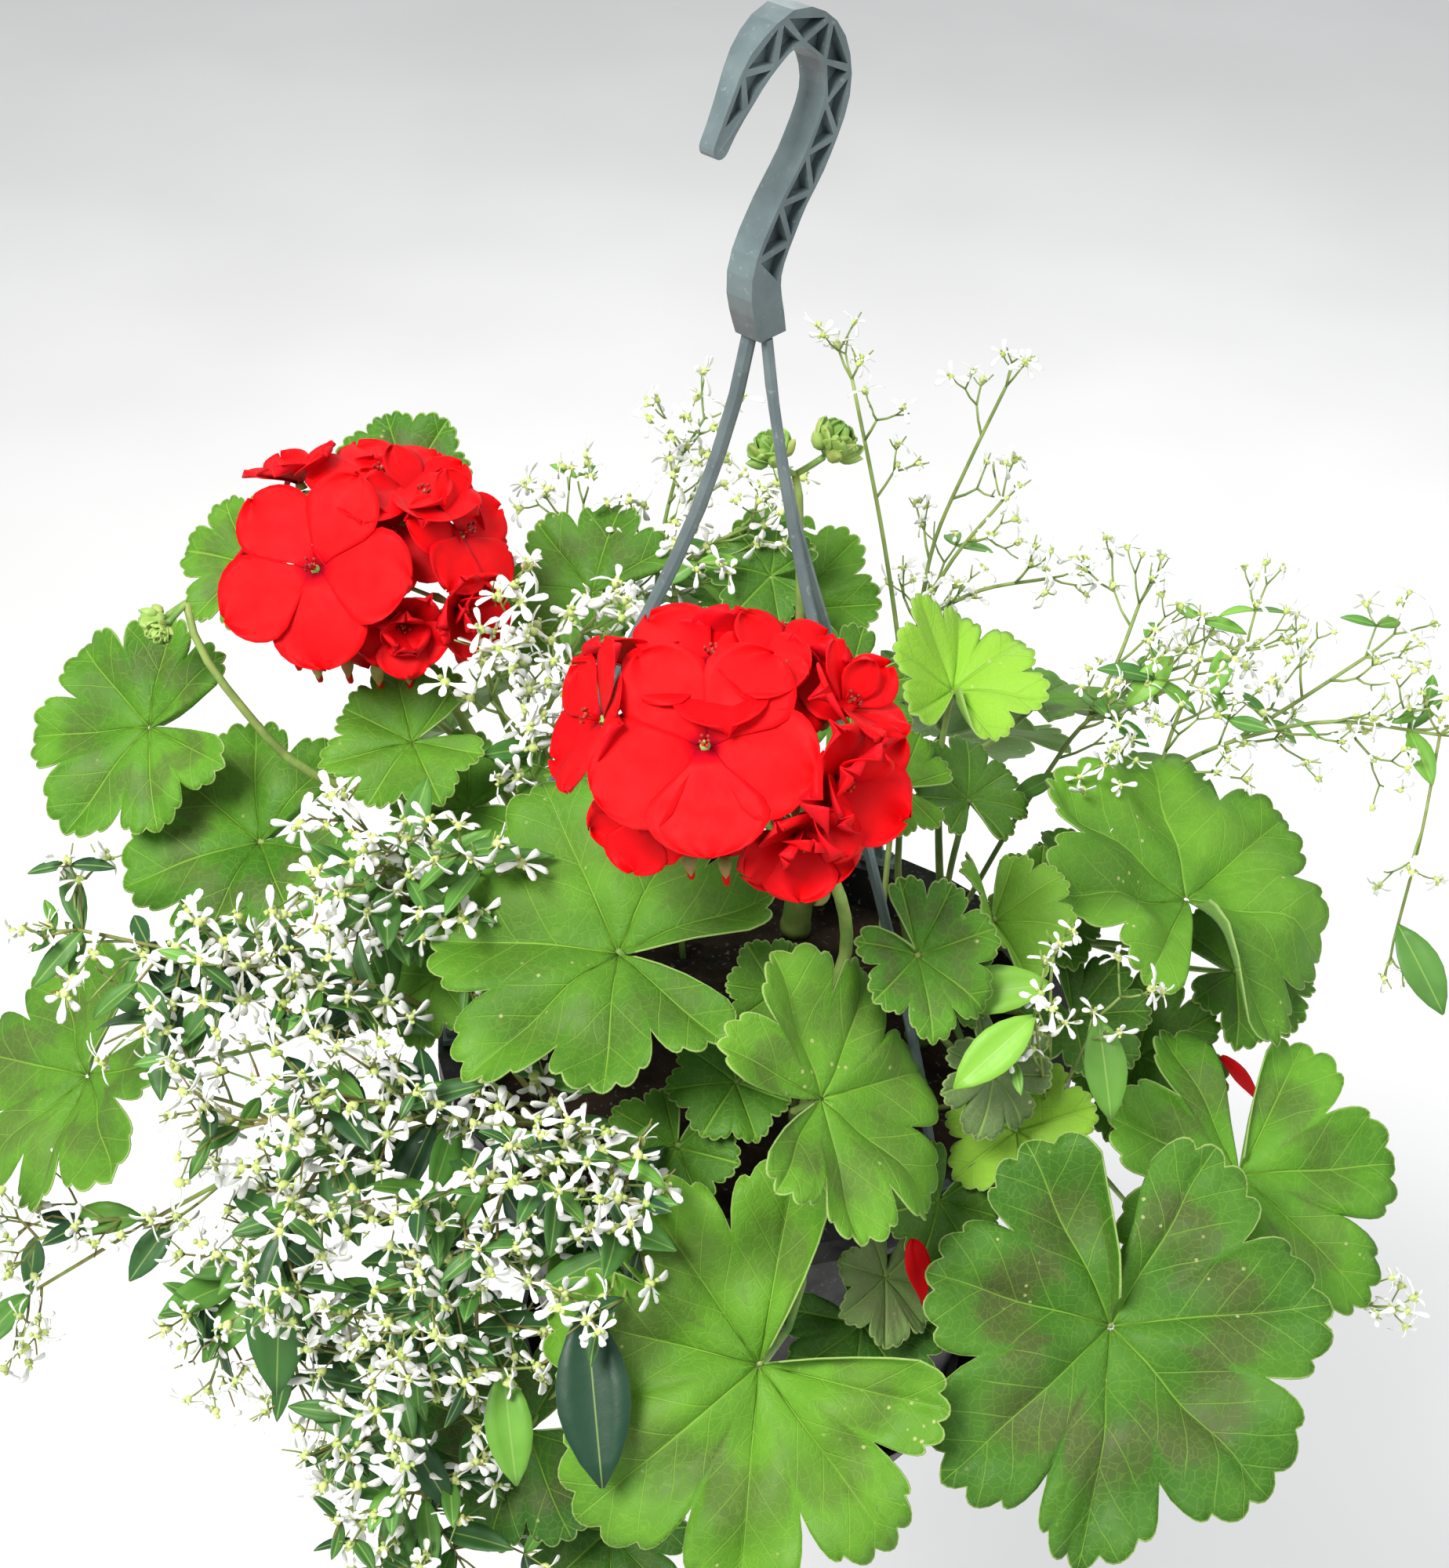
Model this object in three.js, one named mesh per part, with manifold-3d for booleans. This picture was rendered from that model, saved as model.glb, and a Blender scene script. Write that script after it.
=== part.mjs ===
// A mixed hanging basket: red zonal geraniums and white frost-flower spurge (euphorbia) in a black
// plastic pot with a snap-on saucer, hung from a moulded three-strand hanger with a truss-sided hook.
// Millimetres, +Z up. Pieces are laid out around the middle of the pot's rim, which is z = 0, and the
// whole basket is then moved so that the hook's seat, which it hangs by, is at the origin.

import * as THREE from "three";
import { mergeVertices } from "three/addons/utils/BufferGeometryUtils.js";
import Module from "manifold-3d";

const wasm = await Module();
wasm.setup();

// Driving dimensions
const RIM_RADIUS = 109;
const POT_HEIGHT = 150;
const BASE_RADIUS = 74;
const WALL = 1.8;
const FLANGE_WIDTH = 10.5;
const FLANGE_THICK = 3;
const LIP_DROP = 9;
const SOIL_DROP = 14;
const SAUCER_RADIUS = 86;
const SAUCER_HEIGHT = 14;
const HUB_HEIGHT = 262;
const HOOK_WIDTH = 10;
const HOOK_DEPTH = 11;
const HOOK_TURN = THREE.MathUtils.degToRad(47);
const STRAND_WIDTH = 4.6;
const STRAND_THICK = 3.4;
const STRAND_AZIMUTHS = { right: -56, back: 64, left: 184 };
const LEAF_THICK = 1.2;
const LOBES = 7;
const BLADE_SEGMENTS = 2 * LOBES;
const BLADE_REACH = 0.56;
const BLADE_CUP = 0.12;
const BLADE_RIPPLE = 0.035;
const PETIOLE_RADIUS = 1.5;
const GAP = 0.3;
const RIM_CLEARANCE = 14;

// Details worked out from them
const RIM_INNER = RIM_RADIUS - FLANGE_WIDTH;
const SLOT_RADIUS = RIM_RADIUS - FLANGE_WIDTH / 2;
const SLOT_LONG = 10.6;
const SLOT_WIDE = 4;
const ROUND_SIDES = 36;
const DRAIN_HOLES = 6;
const DRAIN_RADIUS = 4;
const DRAIN_CIRCLE = 0.72 * BASE_RADIUS;
const SAUCER_SLOPE = 7;
const CLIP_AZIMUTHS = [0, 120, 240];
const CLIP_SIZE = [2.4, 12, SAUCER_HEIGHT - 2];
const CLIP_REACH = 1.6;
const SOIL_CROWN = 8;
const TRUSS_WALL = 1.5;
const TRUSS_RIB = 0.76;
const POCKET_DEPTH = 3.6;
const POCKETS = 15;
const FIRST_POCKET = 0.16;
const POCKET_RUN = 0.76;
const HOOK_STEPS = 30;
const HUB_SWELL = 1.5;
const TIP_TAPER = 0.45;
const TIP_START = 2;
const TIP_END = -20;
const TIP_ROUNDING = [-65, -40, -15, 15, 40, 65];

const COLOURS = {
  pot: 0x17181a, soil: 0x2b211b, hanger: 0x5b6a6c, stem: 0x6f9a45, leaf: 0x568c32,
  flower: 0xf01018, bud: 0x8fb55c, spurge: 0xe9f0df,
};
const FINISH = {
  pot: 0.45, soil: 1, hanger: 0.5, stem: 0.6, leaf: 0.6,
  flower: 0.55, bud: 0.6, spurge: 0.7,
};

const materials = Object.fromEntries(Object.entries(COLOURS).map(([slot, color]) => [
  slot, new THREE.MeshStandardMaterial({ color, roughness: FINISH[slot], metalness: 0 }),
]));

// ---------------------------------------------------------------- solids

function solidOf(geometry) {
  const bare = geometry.clone();
  bare.deleteAttribute("normal");
  bare.deleteAttribute("uv");
  const merged = mergeVertices(bare, 1e-4);
  const corners = [];
  for (let i = 0; i < merged.index.count; i += 3) {
    const [a, b, c] = [0, 1, 2].map((k) => merged.index.getX(i + k));
    if (a !== b && b !== c && c !== a) corners.push(a, b, c);
  }
  const vertProperties = Float32Array.from(merged.attributes.position.array);
  const build = (triVerts) => new wasm.Manifold(new wasm.Mesh({ numProp: 3, vertProperties, triVerts }));
  const solid = build(Uint32Array.from(corners));
  if (solid.volume() > 0) return solid;
  return build(Uint32Array.from(corners).reverse());
}

function geometryOf(solid) {
  const { vertProperties, triVerts } = solid.getMesh();
  const geometry = new THREE.BufferGeometry();
  geometry.setAttribute("position", new THREE.BufferAttribute(vertProperties, 3));
  geometry.setIndex(new THREE.BufferAttribute(triVerts, 1));
  return geometry;
}

const vector = ([x, y, z]) => new THREE.Vector3(x, y, z);

function onCircle(radius, degrees, z) {
  const angle = THREE.MathUtils.degToRad(degrees);
  return new THREE.Vector3(radius * Math.cos(angle), radius * Math.sin(angle), z);
}

// A closed lathe of (radius, height) points that start and end on the axis, with the axis along +Z
function turned(profile, sides = ROUND_SIDES) {
  const points = profile.map(([r, z]) => new THREE.Vector2(r, z));
  return solidOf(new THREE.LatheGeometry(points, sides).rotateX(Math.PI / 2));
}

function ellipseShape(width, thick, sides) {
  const shape = new THREE.Shape();
  for (let i = 0; i < sides; i += 1) {
    const angle = (2 * Math.PI * i) / sides;
    const [x, y] = [(thick / 2) * Math.cos(angle), (width / 2) * Math.sin(angle)];
    if (i === 0) shape.moveTo(x, y);
    else shape.lineTo(x, y);
  }
  shape.closePath();
  return shape;
}

function tube(points, radius, sides = 5, steps = 4) {
  const extrudePath = new THREE.CatmullRomCurve3(points, false, "centripetal");
  const section = ellipseShape(2 * radius, 2 * radius, sides);
  return solidOf(new THREE.ExtrudeGeometry(section, { extrudePath, steps, bevelEnabled: false }));
}

// The same line of points, starting straight up so that the tube's lower end lies level
function upright([root, ...rest]) {
  return [root, root.clone().add(new THREE.Vector3(0, 0, 4)), ...rest];
}

// Points above and just beyond the rim on the way from one point to another, moved sideways
function overRim(from, to, sideways = 0) {
  const way = from.clone().lerp(to, 0.5);
  const across = new THREE.Vector3(-way.y, way.x, 0).normalize();
  way.addScaledVector(across, sideways).setZ(0);
  const above = way.clone().setLength(RIM_RADIUS - 4).setZ(RIM_CLEARANCE);
  const beyond = way.clone().setLength(RIM_RADIUS + 14).setZ(2);
  return to.z < -RIM_CLEARANCE ? [above, beyond] : [above];
}

function box(size, centre, turnDegrees = 0) {
  const geometry = new THREE.BoxGeometry(...size);
  geometry.rotateZ(THREE.MathUtils.degToRad(turnDegrees));
  return solidOf(geometry.translate(...centre));
}

// ---------------------------------------------------------------- keeping pieces apart

const placed = [];

function boxesMeet(a, b) {
  return [0, 1, 2].every((k) => a.min[k] < b.max[k] && b.min[k] < a.max[k]);
}

function isClear(solid) {
  const bounds = solid.boundingBox();
  return placed.every((piece) => !boxesMeet(bounds, piece.bounds)
    || solid.intersect(piece.solid).isEmpty());
}

function place(name, slot, solid) {
  placed.push({ name, slot, solid, bounds: solid.boundingBox() });
}

// Places the first of several ways to make a piece that touches nothing placed before it
function placeFirstClear(name, slot, ways) {
  for (const make of ways) {
    const solid = make();
    if (isClear(solid) && solid.decompose().length === 1) {
      place(name, slot, solid);
      return;
    }
  }
  throw new Error(`${name} has no clear way in`);
}

// ---------------------------------------------------------------- pot, saucer and soil

const wallSlope = (RIM_INNER - BASE_RADIUS) / (POT_HEIGHT - FLANGE_THICK);
const outerRadiusAt = (z) => BASE_RADIUS + wallSlope * (z + POT_HEIGHT);
const innerRadiusAt = (z) => RIM_INNER - WALL + ((RIM_INNER - BASE_RADIUS) / POT_HEIGHT) * z;
const soilTopAt = (radius) => -SOIL_DROP + SOIL_CROWN * (1 - (radius / RIM_INNER) ** 2);

function pot() {
  const inside = -POT_HEIGHT + WALL;
  let solid = turned([
    [0, -POT_HEIGHT], [BASE_RADIUS, -POT_HEIGHT], [RIM_INNER, -FLANGE_THICK],
    [RIM_RADIUS - WALL, -FLANGE_THICK], [RIM_RADIUS - WALL, -LIP_DROP], [RIM_RADIUS, -LIP_DROP],
    [RIM_RADIUS, 0], [innerRadiusAt(0), 0], [innerRadiusAt(inside), inside], [0, inside],
  ]);
  for (const azimuth of Object.values(STRAND_AZIMUTHS)) {
    const middle = onCircle(SLOT_RADIUS, azimuth, 0).toArray();
    solid = solid.subtract(box([SLOT_WIDE, SLOT_LONG, 4 * FLANGE_THICK], middle, azimuth));
  }
  for (let i = 0; i < DRAIN_HOLES; i += 1) {
    const hole = new THREE.CylinderGeometry(DRAIN_RADIUS, DRAIN_RADIUS, 4 * WALL, 8);
    const middle = onCircle(DRAIN_CIRCLE, (360 * i) / DRAIN_HOLES, -POT_HEIGHT);
    solid = solid.subtract(solidOf(hole.rotateX(Math.PI / 2).translate(...middle)));
  }
  return solid;
}

function saucer() {
  const floor = -POT_HEIGHT - GAP;
  const base = floor - WALL;
  let solid = turned([
    [0, base], [SAUCER_RADIUS - SAUCER_SLOPE, base], [SAUCER_RADIUS, base + SAUCER_HEIGHT],
    [SAUCER_RADIUS - WALL, base + SAUCER_HEIGHT], [SAUCER_RADIUS - SAUCER_SLOPE - WALL, floor],
    [0, floor],
  ]);
  const clipHeight = CLIP_SIZE[2];
  for (const azimuth of CLIP_AZIMUTHS) {
    const radius = outerRadiusAt(floor + clipHeight) + CLIP_REACH + GAP;
    const middle = onCircle(radius, azimuth, base + clipHeight / 2 + 0.5).toArray();
    solid = solid.add(box(CLIP_SIZE, middle, azimuth));
  }
  return solid;
}

function soil() {
  const low = -POT_HEIGHT + WALL + GAP;
  const edge = innerRadiusAt(-SOIL_DROP) - GAP;
  const profile = [[0, low], [innerRadiusAt(low) - GAP, low], [edge, -SOIL_DROP]];
  for (const share of [0.66, 0.33, 0]) profile.push([share * edge, soilTopAt(share * edge)]);
  return turned(profile);
}

// ---------------------------------------------------------------- hanger

// The middle line of the hook, in its own plane: across, then up from the hub
const HOOK_LINE = [
  [0, 0], [-3, 19], [6, 36], [18, 51], [26, 68],
  [22, 83], [9, 90.5], [-4, 84.5], [-13, 73], [-19.5, 63],
];
const HOOK_SEAT = { across: 9, up: 90.5 - HOOK_DEPTH / 2 };
const hookCurve = new THREE.CatmullRomCurve3(HOOK_LINE.map(([x, y]) => new THREE.Vector3(x, y, 0)));

function hookDepthAt(u) {
  const tip = THREE.MathUtils.smoothstep(u, 0.8, 1);
  const hub = Math.sin(Math.PI * THREE.MathUtils.clamp(u / 0.3, 0, 1));
  return HOOK_DEPTH * (1 - TIP_TAPER * tip) + HUB_SWELL * hub;
}

// A point beside the hook's middle line; side runs from -1 on the outer edge to 1 on the inner edge
function hookPoint(u, side, wall = 0) {
  const middle = hookCurve.getPointAt(u);
  const along = hookCurve.getTangentAt(u);
  const reach = side * (hookDepthAt(u) / 2 - wall);
  return new THREE.Vector2(middle.x - along.y * reach, middle.y + along.x * reach);
}

function extrudedOutline(points, depth, start) {
  const geometry = new THREE.ExtrudeGeometry(new THREE.Shape(points), { depth, bevelEnabled: false });
  return solidOf(geometry.translate(0, 0, start));
}

// The rounded end of the hook, from its outer edge round to its inner edge
function hookEnd() {
  const middle = hookCurve.getPointAt(1);
  const along = hookCurve.getTangentAt(1);
  const reach = hookDepthAt(1) / 2;
  return TIP_ROUNDING.map((degrees) => {
    const angle = THREE.MathUtils.degToRad(degrees);
    const ahead = Math.cos(angle) * reach;
    const side = Math.sin(angle) * reach;
    return new THREE.Vector2(
      middle.x + along.x * ahead - along.y * side,
      middle.y + along.y * ahead + along.x * side,
    );
  });
}

// The hook's band grows narrower toward its tip
function narrowTip(vertex) {
  if (vertex[1] < HOOK_SEAT.up / 2) return;
  vertex[2] *= 1 - TIP_TAPER * (1 - THREE.MathUtils.smoothstep(vertex[0], TIP_END, TIP_START));
}

function hook() {
  const shares = Array.from({ length: HOOK_STEPS + 1 }, (_, i) => i / HOOK_STEPS);
  const rise = shares.map((share) => hookPoint(share, -1));
  const back = shares.map((share) => hookPoint(1 - share, 1));
  rise[0].y = 0;
  back[HOOK_STEPS].y = 0;
  let solid = extrudedOutline([...rise, ...hookEnd(), ...back], HOOK_WIDTH, -HOOK_WIDTH / 2);
  const pocketStart = HOOK_WIDTH / 2 - POCKET_DEPTH;
  for (let i = 0; i < POCKETS; i += 1) {
    const u = FIRST_POCKET + (POCKET_RUN * i) / (POCKETS - 1);
    const half = (POCKET_RUN / (POCKETS - 1)) * TRUSS_RIB;
    const side = i % 2 ? 1 : -1;
    const triangle = [
      hookPoint(u - half, side, TRUSS_WALL), hookPoint(u + half, side, TRUSS_WALL),
      hookPoint(u, -side, TRUSS_WALL + 0.6),
    ];
    for (const start of [pocketStart, -HOOK_WIDTH / 2 - 1]) {
      solid = solid.subtract(extrudedOutline(triangle, POCKET_DEPTH + 1, start));
    }
  }
  const across = new THREE.Vector3(Math.cos(HOOK_TURN), Math.sin(HOOK_TURN), 0);
  const up = new THREE.Vector3(0, 0, 1);
  const turn = new THREE.Matrix4().makeBasis(across, up, across.clone().cross(up));
  return solid.warp(narrowTip).transform(turn.setPosition(0, 0, HUB_HEIGHT).toArray());
}

// Radius and height down a strand, from the hub to the rim
const STRAND_LINE = [
  [3.3, HUB_HEIGHT - 3 * GAP], [6, 246], [19, 202], [42, 150], [68, 98], [90, 50], [SLOT_RADIUS, 3],
];

function strand(azimuth) {
  const extrudePath = new THREE.CatmullRomCurve3(STRAND_LINE.map(([r, z]) => onCircle(r, azimuth, z)));
  const section = ellipseShape(STRAND_WIDTH, STRAND_THICK, 8);
  const rod = solidOf(new THREE.ExtrudeGeometry(section, { extrudePath, steps: 14, bevelEnabled: false }));
  const footPart = ([width, length, height], z) => (
    box([width, length, height], onCircle(SLOT_RADIUS, azimuth, z).toArray(), azimuth));
  const blade = footPart([SLOT_WIDE - 1, SLOT_LONG - 1, 12], -1.5);
  const shoulder = footPart([SLOT_WIDE + 2, SLOT_LONG + 3, 2.4], 1.5);
  const barb = footPart([SLOT_WIDE + 1, SLOT_LONG - 1, 2.4], -6);
  return rod.add(blade).add(shoulder).add(barb);
}

// ---------------------------------------------------------------- geraniums

// Where each plant's woody stem stands, and where its top leans to
const CROWNS = {
  front: { foot: [16, -42], top: [22, -50, 58], stem: 5 },
  right: { foot: [56, 2], top: [66, 0, 46], stem: 4.5 },
  left: { foot: [-52, 34], top: [-66, 34, 64], stem: 4.5 },
  back: { foot: [14, 62], top: [14, 68, 70], stem: 4.5 },
};

function crownPoint(crown, share) {
  const [x, y] = crown.foot;
  const foot = new THREE.Vector3(x, y, soilTopAt(Math.hypot(x, y)) + 2 * GAP);
  return foot.lerp(vector(crown.top), share);
}

function crownStem(crown) {
  const points = [0, 0.35, 0.7, 1].map((share) => crownPoint(crown, share));
  points[1].x += 2;
  points[2].x -= 2;
  return tube(upright(points), crown.stem, 7, 4);
}

// Seven lobes around the blade; turn is 0 at the middle lobe's tip and 1 at the notch
function lobeReach(turn) {
  const lobes = 0.86 + 0.14 * Math.cos(LOBES * Math.PI * turn);
  return lobes * (1 - 0.12 * turn) * (1 - 0.62 * THREE.MathUtils.smoothstep(turn, 0.87, 1));
}

// A leaf blade around its stalk's end: +Y is away from the notch and +Z is the upper side
function blade(size) {
  const half = LEAF_THICK / 2;
  const profile = [[0, -half], [1, -half], [1, half], [0, half]].map(([r, z]) => new THREE.Vector2(r, z));
  const halfSegment = Math.PI / BLADE_SEGMENTS;
  const geometry = new THREE.LatheGeometry(profile, BLADE_SEGMENTS);
  geometry.rotateX(Math.PI / 2).rotateZ(Math.PI / 2 + halfSegment);
  const position = geometry.attributes.position;
  for (let i = 0; i < position.count; i += 1) {
    const [x, y, z] = [position.getX(i), position.getY(i), position.getZ(i)];
    const turn = Math.abs(Math.atan2(x, y)) / Math.PI;
    const reach = Math.hypot(x, y) > 0.5 ? BLADE_REACH * size * lobeReach(turn) : 0;
    const ripple = BLADE_RIPPLE * size * Math.cos(LOBES * Math.PI * turn);
    position.setXYZ(i, x * reach, y * reach, reach > 0 ? z + BLADE_CUP * reach + ripple : z);
  }
  return solidOf(geometry);
}

function leanVector(lean, toward) {
  const direction = onCircle(Math.sin(THREE.MathUtils.degToRad(lean)), toward, 0);
  direction.z = Math.cos(THREE.MathUtils.degToRad(lean));
  return direction;
}

// The blade's frame: its upper side leans toward an azimuth, and it points away from the crown or as told
function bladeTurn(leaf, crown) {
  const up = leanVector(leaf.lean, leaf.toward);
  const away = vector(leaf.at).sub(crownPoint(crown, 0.6)).setZ(0).normalize();
  const forward = leaf.heading === undefined ? away : onCircle(1, leaf.heading, 0);
  forward.addScaledVector(up, -forward.dot(up)).normalize();
  return new THREE.Matrix4().makeBasis(forward.clone().cross(up), forward, up);
}

const LIFTS = [0, 3, -3, 6, -6, 9, -9, 13, -13, 17, -17];
const DETOURS = [0, 10, -10, 20, -20, 32, -32];
const ROOT_SHARES = [0.75, 0.5, 0.95, 0.3, 0.62, 0.85, 0.15, 0.4];

function leafSolid(leaf, crown, lift, sideways, rootShare) {
  const turn = bladeTurn(leaf, crown);
  const [, forward, up] = [0, 1, 2].map((k) => new THREE.Vector3().setFromMatrixColumn(turn, k));
  const joint = vector(leaf.at).addScaledVector(up, lift);
  const plate = blade(leaf.size).transform(turn.setPosition(joint).toArray());
  if (!isClear(plate)) return null;
  const stem = crownPoint(crown, rootShare);
  const outward = joint.clone().sub(stem).setZ(0).normalize();
  const root = stem.clone().addScaledVector(outward, crown.stem + PETIOLE_RADIUS + GAP);
  const across = new THREE.Vector3(-outward.y, outward.x, 0);
  const middle = root.clone().lerp(joint, 0.5).addScaledVector(across, sideways);
  middle.addScaledVector(up, -0.12 * root.distanceTo(joint));
  const way = joint.z < RIM_CLEARANCE ? overRim(root, joint, sideways) : [middle];
  const arrival = joint.clone().addScaledVector(up, -0.1 * leaf.size);
  arrival.addScaledVector(forward, -0.05 * leaf.size);
  return plate.add(tube([root, ...way, arrival, joint], PETIOLE_RADIUS, 5, 3 + way.length));
}

function* leafWays(leaf, crown) {
  const nothing = solidOf(new THREE.BoxGeometry(1, 1, 1));
  for (const lift of LIFTS) {
    const blocked = leafSolid(leaf, crown, lift, 0, ROOT_SHARES[0]) === null;
    for (const rootShare of blocked ? [] : ROOT_SHARES) {
      for (const sideways of DETOURS) {
        yield () => leafSolid(leaf, crown, lift, sideways, rootShare) ?? nothing;
      }
    }
  }
}

// Each leaf: where its stalk joins the blade, its width, how far it leans and toward which azimuth
const LEAVES = [
  { at: [2, -150, -9], size: 126, lean: 46, toward: -90, crown: "front", heading: 225 },
  { at: [111, -125, -17], size: 126, lean: 36, toward: -70, crown: "right", heading: 275 },
  { at: [-42, -73, 89], size: 105, lean: 28, toward: -100, crown: "front", heading: 165 },
  { at: [15, -112, 62], size: 92, lean: 46, toward: -40, crown: "front", heading: 25 },
  { at: [142, 0, 53], size: 112, lean: 26, toward: -30, crown: "right", heading: 105 },
  { at: [159, -60, -14], size: 104, lean: 32, toward: -60, crown: "right", heading: 278 },
  { at: [83, -75, 19], size: 50, lean: 34, toward: -80, crown: "right", heading: 320 },
  { at: [-222, -34, 2], size: 92, lean: 40, toward: 215, crown: "left" },
  { at: [-200, 24, 104], size: 74, lean: 44, toward: -120, crown: "left" },
  { at: [-164, 2, 74], size: 82, lean: 30, toward: -110, crown: "left" },
  { at: [-112, 14, 104], size: 54, lean: 30, toward: -100, crown: "left" },
  { at: [64, 32, 116], size: 56, lean: 30, toward: -60, crown: "right" },
  { at: [46, 4, 96], size: 38, lean: 32, toward: -60, crown: "right" },
  { at: [9, 100, 104], size: 70, lean: 42, toward: -90, crown: "back" },
  { at: [-56, 72, 128], size: 62, lean: 30, toward: -110, crown: "back" },
  { at: [76, -34, 72], size: 46, lean: 24, toward: -30, crown: "right" },
  { at: [44, -64, 76], size: 48, lean: 40, toward: -60, crown: "front" },
  { at: [40, -106, -8], size: 46, lean: 58, toward: -50, crown: "front" },
  { at: [74, -78, 46], size: 50, lean: 50, toward: -60, crown: "right" },
  { at: [-74, -112, -82], size: 72, lean: 52, toward: -100, crown: "front" },
  { at: [-48, -116, -126], size: 62, lean: 40, toward: -90, crown: "front" },
  { at: [130, -24, 8], size: 56, lean: 42, toward: -80, crown: "right" },
  { at: [160, 10, 12], size: 58, lean: 36, toward: -50, crown: "right" },
  { at: [-118, 72, 176], size: 46, lean: 44, toward: -90, crown: "left" },
  { at: [-170, 62, 146], size: 46, lean: 40, toward: -120, crown: "left" },
  { at: [98, 84, 76], size: 64, lean: 22, toward: 60, crown: "back" },
  { at: [-30, 148, 58], size: 96, lean: 42, toward: 96, crown: "back" },
  { at: [70, 134, 30], size: 90, lean: 44, toward: 66, crown: "back" },
  { at: [-112, 112, 44], size: 88, lean: 42, toward: 140, crown: "left" },
];

// ---------------------------------------------------------------- flower heads and buds

function ball(radius, height, sides, rings) {
  return new THREE.SphereGeometry(1, sides, rings).scale(radius, height, radius);
}

// A stalk from the crown with a squashed ball of flowers or buds on its end, facing its lean
function head(spec, crown, sideways, rootShare) {
  const up = leanVector(spec.lean, spec.toward);
  const at = vector(spec.at);
  const dome = ball(spec.radius, spec.height, spec.sides, spec.sides - 4);
  const turn = new THREE.Matrix4().makeRotationFromQuaternion(
    new THREE.Quaternion().setFromUnitVectors(new THREE.Vector3(0, 1, 0), up),
  );
  const flowers = solidOf(dome.applyMatrix4(turn.setPosition(at)));
  const stem = crownPoint(crown, rootShare);
  const outward = at.clone().sub(stem).setZ(0).normalize();
  const root = stem.clone().addScaledVector(outward, crown.stem + spec.stalk + GAP);
  const across = new THREE.Vector3(-outward.y, outward.x, 0);
  const middle = root.clone().lerp(at, 0.5).addScaledVector(across, sideways);
  middle.addScaledVector(outward, spec.bow ?? 0);
  const end = at.clone().addScaledVector(up, -0.4 * spec.height);
  return flowers.add(tube([root, middle, end], spec.stalk, 6, 5));
}

function* headWays(spec, crown) {
  for (const rootShare of ROOT_SHARES) {
    for (const sideways of DETOURS) yield () => head(spec, crown, sideways, rootShare);
  }
}

const HEADS = {
  flower_head_front: {
    slot: "flower", at: [-11, -85, 178], radius: 45, height: 27, sides: 12, lean: 48, toward: -90,
    stalk: 2.2, crown: "front", bow: -16,
  },
  flower_head_left: {
    slot: "flower", at: [-126, 34, 164], radius: 42, height: 30, sides: 12, lean: 46, toward: -90,
    stalk: 2.2, crown: "left",
  },
  bud_head_back: {
    slot: "bud", at: [14, 62, 186], radius: 19, height: 12, sides: 8, lean: 30, toward: -60,
    stalk: 1.8, crown: "back",
  },
  bud_head_left: {
    slot: "bud", at: [-188, 14, 152], radius: 14, height: 11, sides: 8, lean: 130, toward: 200,
    stalk: 1.8, crown: "left", bow: 22,
  },
};

const PETAL_SIZE = [7, 0.8, 11];

function fallenPetal(at, lean, toward, lift) {
  const thickness = new THREE.Vector3(0, 1, 0);
  const turn = new THREE.Quaternion().setFromUnitVectors(thickness, leanVector(lean, toward));
  const geometry = ball(1, 1, 8, 4).scale(...PETAL_SIZE).applyQuaternion(turn);
  return solidOf(geometry.translate(at[0], at[1], at[2] + lift));
}

// Where each fallen petal lies, how far it leans, and which way
const PETALS = {
  fallen_petal_front: [[51, -122, 2], 60, -60],
  fallen_petal_right: [[164, -26, -2], 40, -20],
};

// ---------------------------------------------------------------- spurge

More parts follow.
